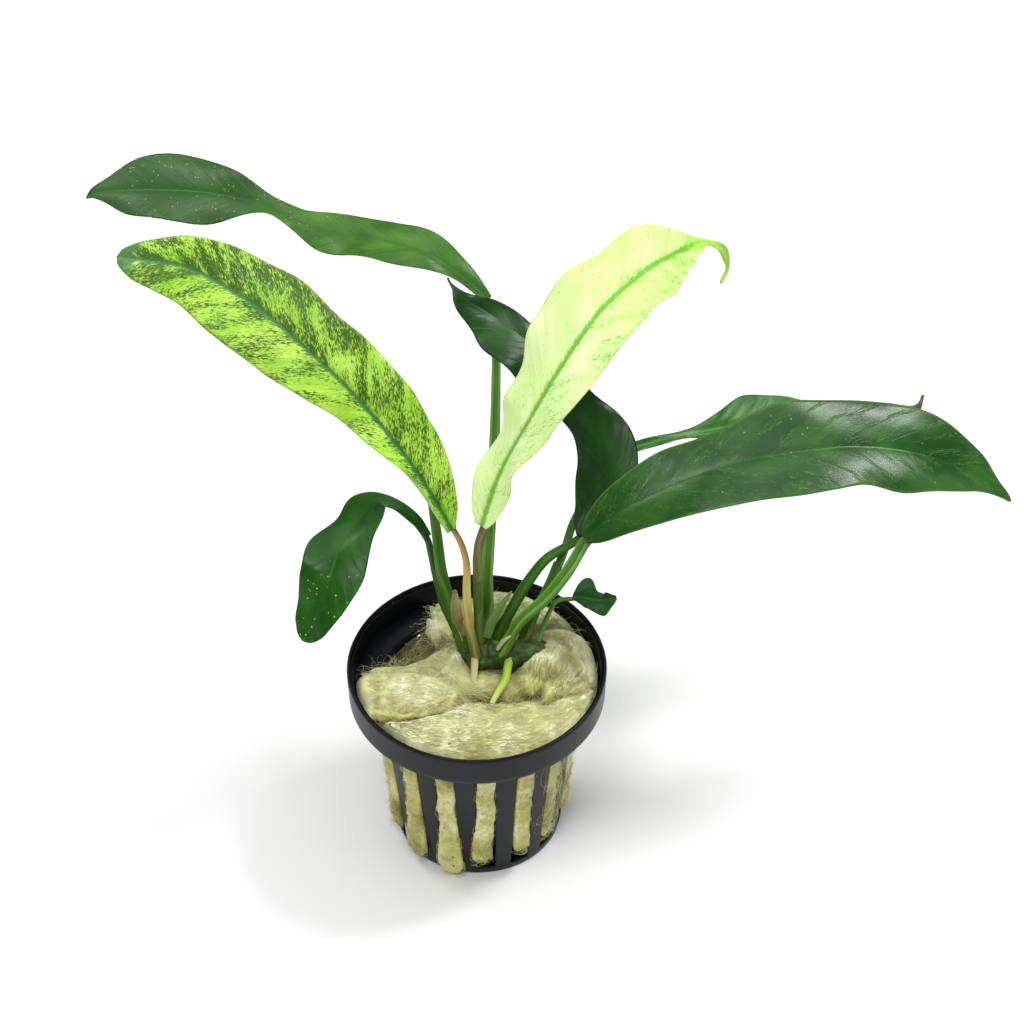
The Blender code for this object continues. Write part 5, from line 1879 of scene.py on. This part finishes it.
    def tongue_strand(self, dice: random.Random, slot: int) -> "Strand":
        """A fibre that lies on a tongue in a slot, or curls off it."""
        across = dice.uniform(-0.98, 0.98)
        down = dice.uniform(0.01, 0.98)
        length = dice.gauss(0.0, 0.06)
        drift = dice.gauss(0, 0.9)
        lift = abs(dice.gauss(0, 0.42))
        middle = dice.uniform(0.3, 1.0)
        points = []
        for index in range(STRAND_POINTS):
            part = index / (STRAND_POINTS - 1)
            here = min(max(across + drift * part, -1.12), 1.12)
            out = math.sqrt(max(1 - min(abs(here), 1.0) ** 2.4, 0.0))
            low = min(max(down + length * part, 0.005), 0.99)
            point = self.tongue_point(slot, here, low, out)
            radial = Vector((point.x, point.y, 0)).normalized()
            point += radial * (0.03 + lift * math.sin(part * math.pi * middle))
            point.z = max(point.z, 0.05)
            points.append(point)
        return Strand(points, dice.uniform(0.022, 0.050), 0.05, 0.7 * dice.random() ** 2)

    def stray_strand(self, dice: random.Random) -> "Strand":
        """A long loose fibre: some hang outside the pot's right, others stand off the top."""
        is_hanging = dice.random() < 0.22
        return self.hanging_strand(dice) if is_hanging else self.standing_strand(dice)

    def hanging_strand(self, dice: random.Random) -> "Strand":
        """A fibre that hangs down outside the pot."""
        angle = math.radians(dice.gauss(-34.0, 6.0))
        z = dice.uniform(11.0, 37.0)
        length = dice.uniform(3.0, 9.0)
        drift = dice.gauss(0.05, 0.16)
        bow = dice.uniform(0.2, 1.8)
        steps = STRAND_POINTS - 1
        points = []
        for index in range(STRAND_POINTS):
            part = index / steps
            radius = self.pot.wall_radius(max(z, 0)) + 0.2 + bow * math.sin(part * math.pi * 0.9)
            points.append(polar(radius, angle, z))
            z = max(z - length / steps, 0.2)
            angle += drift * (part - 0.3)
        return Strand(points, dice.uniform(0.014, 0.032), 0.0, 0.0)

    def standing_strand(self, dice: random.Random) -> "Strand":
        """A fibre that stands off the top near its edge."""
        bearings = ((-20, 25), (45, 20), (118, 10), (120, 8), (172, 5))
        angle = math.radians(dice.choice([dice.gauss(middle, spread)
                                          for middle, spread in bearings]))
        radius = float(self.edge_at(angle)) - dice.uniform(0.3, 6.0)
        place = polar(radius, angle)
        place.z = float(self.top.read("height", place.x, place.y))
        heading = dice.uniform(0, FULL_TURN)
        length = dice.uniform(1.5, 4.5)
        climb = dice.uniform(0.15, 0.8)
        steps = STRAND_POINTS - 1
        points = []
        for index in range(STRAND_POINTS):
            rise = length * climb * math.sin(index / steps * 2.2) * 0.5
            points.append(place + Vector((0, 0, rise)))
            place = place + polar(1.0, heading) * (length / steps)
            heading += dice.gauss(0, 0.6)
            over = max(math.hypot(place.x, place.y) / self.edge_radius, 1.0)
            place = Vector((place.x / over, place.y / over, place.z))
        return Strand(points, dice.uniform(0.018, 0.040), 0.0, 0.0)

    def join_strands(self, name: str, strands: Sequence["Strand"], seed: int) -> bpy.types.Object:
        """Join many copies of one strand, each bent along its own spine.

        Args:
            name: the piece's name.
            strands: the strands, all with the same number of points.
            seed: the seed of the strands' tints.

        Returns:
            The piece.
        """
        last = STRAND_POINTS - 1
        single = bmesh.new()
        bmesh.ops.create_cone(single, cap_ends=True, segments=3, radius1=1.0, radius2=1.0,
                              depth=1.0)
        for level in range(1, last):
            everything = single.verts[:] + single.edges[:] + single.faces[:]
            bmesh.ops.bisect_plane(single, geom=everything,
                                   plane_co=(0, 0, level / last - 0.5), plane_no=(0, 0, 1))
        bmesh.ops.triangulate(single, faces=single.faces)
        corners = np.array([vertex.co for vertex in single.verts])
        faces = np.array([[vertex.index for vertex in face.verts] for face in single.faces])
        single.free()
        rank = np.rint((corners[:, 2] + 0.5) * last).astype(int)
        taper = np.sin((rank / last) * 0.86 * math.pi + 0.07 * math.pi)
        routes = np.array([[tuple(point) for point in strand.points] for strand in strands])
        heading = routes[:, -1] - routes[:, 0]
        heading /= np.linalg.norm(heading, axis=1, keepdims=True) + 1e-9
        side = np.cross(heading, np.array([0.13, 0.21, 0.97]))
        side /= np.linalg.norm(side, axis=1, keepdims=True)
        out = np.cross(side, heading)
        girth = np.array([strand.half_width for strand in strands])[:, None, None]
        girth = girth * taper[None, :, None]
        points = (routes[:, rank] + side[:, None] * corners[None, :, 0:1] * girth
                  + out[:, None] * corners[None, :, 1:2] * girth)
        count = len(corners)
        indices = (faces[None] + (np.arange(len(strands)) * count)[:, None, None]).reshape(-1, 3)
        mesh = bpy.data.meshes.new(name)
        mesh.from_pydata((points.reshape(-1, 3) * MM).tolist(), [], indices.tolist())
        tints = np.random.default_rng(seed).random(len(strands)).astype(np.float32)
        depths = np.array([strand.depth for strand in strands], np.float32)
        stains = np.array([strand.stain for strand in strands], np.float32)
        for label, values in (("tint", tints), ("hollow", depths), ("stain", stains)):
            layer = mesh.attributes.new(label, "FLOAT", "POINT")
            layer.data.foreach_set("value", np.repeat(values, count))
        mesh.shade_smooth()
        return put_in_place(mesh, name, [FibreFinish(name).make()], [], "wool_fibre")

    def build(self) -> None:
        """Build every piece of the wool."""
        self.build_top()
        self.build_tongues()
        self.build_fibres()


@dataclass(frozen=True)
class Strand:
    """One loose fibre: its points, half width, its bed's painted shade and how stained its bed is.
    """

    points: list[Vector]
    half_width: float
    depth: float
    stain: float


# ---- The studio


@dataclass
class Studio:
    """The pale floor, the soft lights and the camera."""

    lens: float = 83.0
    camera_place: Point = (7.437, -347.119, 406.764)
    camera_down_deg: float = 42.349
    floor_size: float = 6.0
    floor_white: Rgb = (0.93, 0.93, 0.935)
    surround: float = 0.32
    backdrop: float = 1.0
    lights: tuple[tuple[str, Point, float, float], ...] = (
        ("overhead", (0.0, 0.05, 1.3), 1.2, 6.5), ("right_box", (0.60, 0.22, 1.05), 0.24, 7.0),
        ("left_box", (-0.60, 0.50, 0.95), 0.30, 3.0),
        ("front_box", (-0.20, -0.62, 1.05), 0.34, 4.0))
    lights_aim: Point = (0.0, 0.02, 0.06)

    def build(self) -> None:
        """Build the studio."""
        self.lay_floor()
        self.light_surround()
        for name, place, size, power in self.lights:
            self.hang_light(name, place, size, power)
        self.set_camera()

    def lay_floor(self) -> None:
        """Lay the pale floor under the pot's foot."""
        form = bmesh.new()
        bmesh.ops.create_grid(form, x_segments=1, y_segments=1, size=self.floor_size / 2)
        mesh = bpy.data.meshes.new("studio_floor")
        form.to_mesh(mesh)
        form.free()
        floor = link("studio_floor", mesh)
        shade = Shade("studio_floor")
        mesh.materials.append(shade.dress({}, {"Base Color": self.floor_white, "Roughness": 0.9,
                                               "Specular IOR Level": 0.1}))

    def light_surround(self) -> None:
        """Light the scene evenly from all around, with a white backdrop behind it."""
        world = bpy.data.worlds.new("studio")
        bpy.context.scene.world = world
        world.use_nodes = True
        tree = world.node_tree
        background = tree.nodes["Background"]
        background.inputs["Color"].default_value = (1.0, 1.0, 1.0, 1.0)
        rays = tree.nodes.new("ShaderNodeLightPath")
        level = tree.nodes.new("ShaderNodeMapRange")
        level.inputs["To Min"].default_value = self.surround
        level.inputs["To Max"].default_value = self.backdrop
        tree.links.new(rays.outputs["Is Camera Ray"], level.inputs["Value"])
        tree.links.new(level.outputs[0], background.inputs["Strength"])

    def hang_light(self, name: str, place: Point, size: float, power: float) -> None:
        """Hang a square soft light that looks at the plant.

        Args:
            name: the light's name.
            place: where it hangs, in metres.
            size: the length of its side, in metres.
            power: its power in watts.
        """
        light = bpy.data.lights.new(name, "AREA")
        light.shape = "SQUARE"
        light.size = size
        light.energy = power
        lamp = link(name, light)
        lamp.location = place
        aim = Vector(self.lights_aim) - Vector(place)
        lamp.rotation_euler = aim.to_track_quat("-Z", "Y").to_euler()

    def set_camera(self) -> None:
        """Set the camera above the front of the plant, looking down at it."""
        data = bpy.data.cameras.new("camera")
        data.lens = self.lens
        camera = link("camera", data)
        camera.location = Vector(self.camera_place) * MM
        camera.rotation_euler = (math.radians(90 - self.camera_down_deg), 0.0, 0.0)
        bpy.context.scene.camera = camera
        bpy.context.scene.view_settings.view_transform = "Standard"


def main() -> None:
    """Build the studio and the potted plant."""
    logging.basicConfig(level=logging.INFO, format="%(message)s")
    Studio().build()
    pot = NetPot()
    pot.build()
    StoneWool(pot).build()
    Plant().build()


if __name__ == "__main__":
    main()
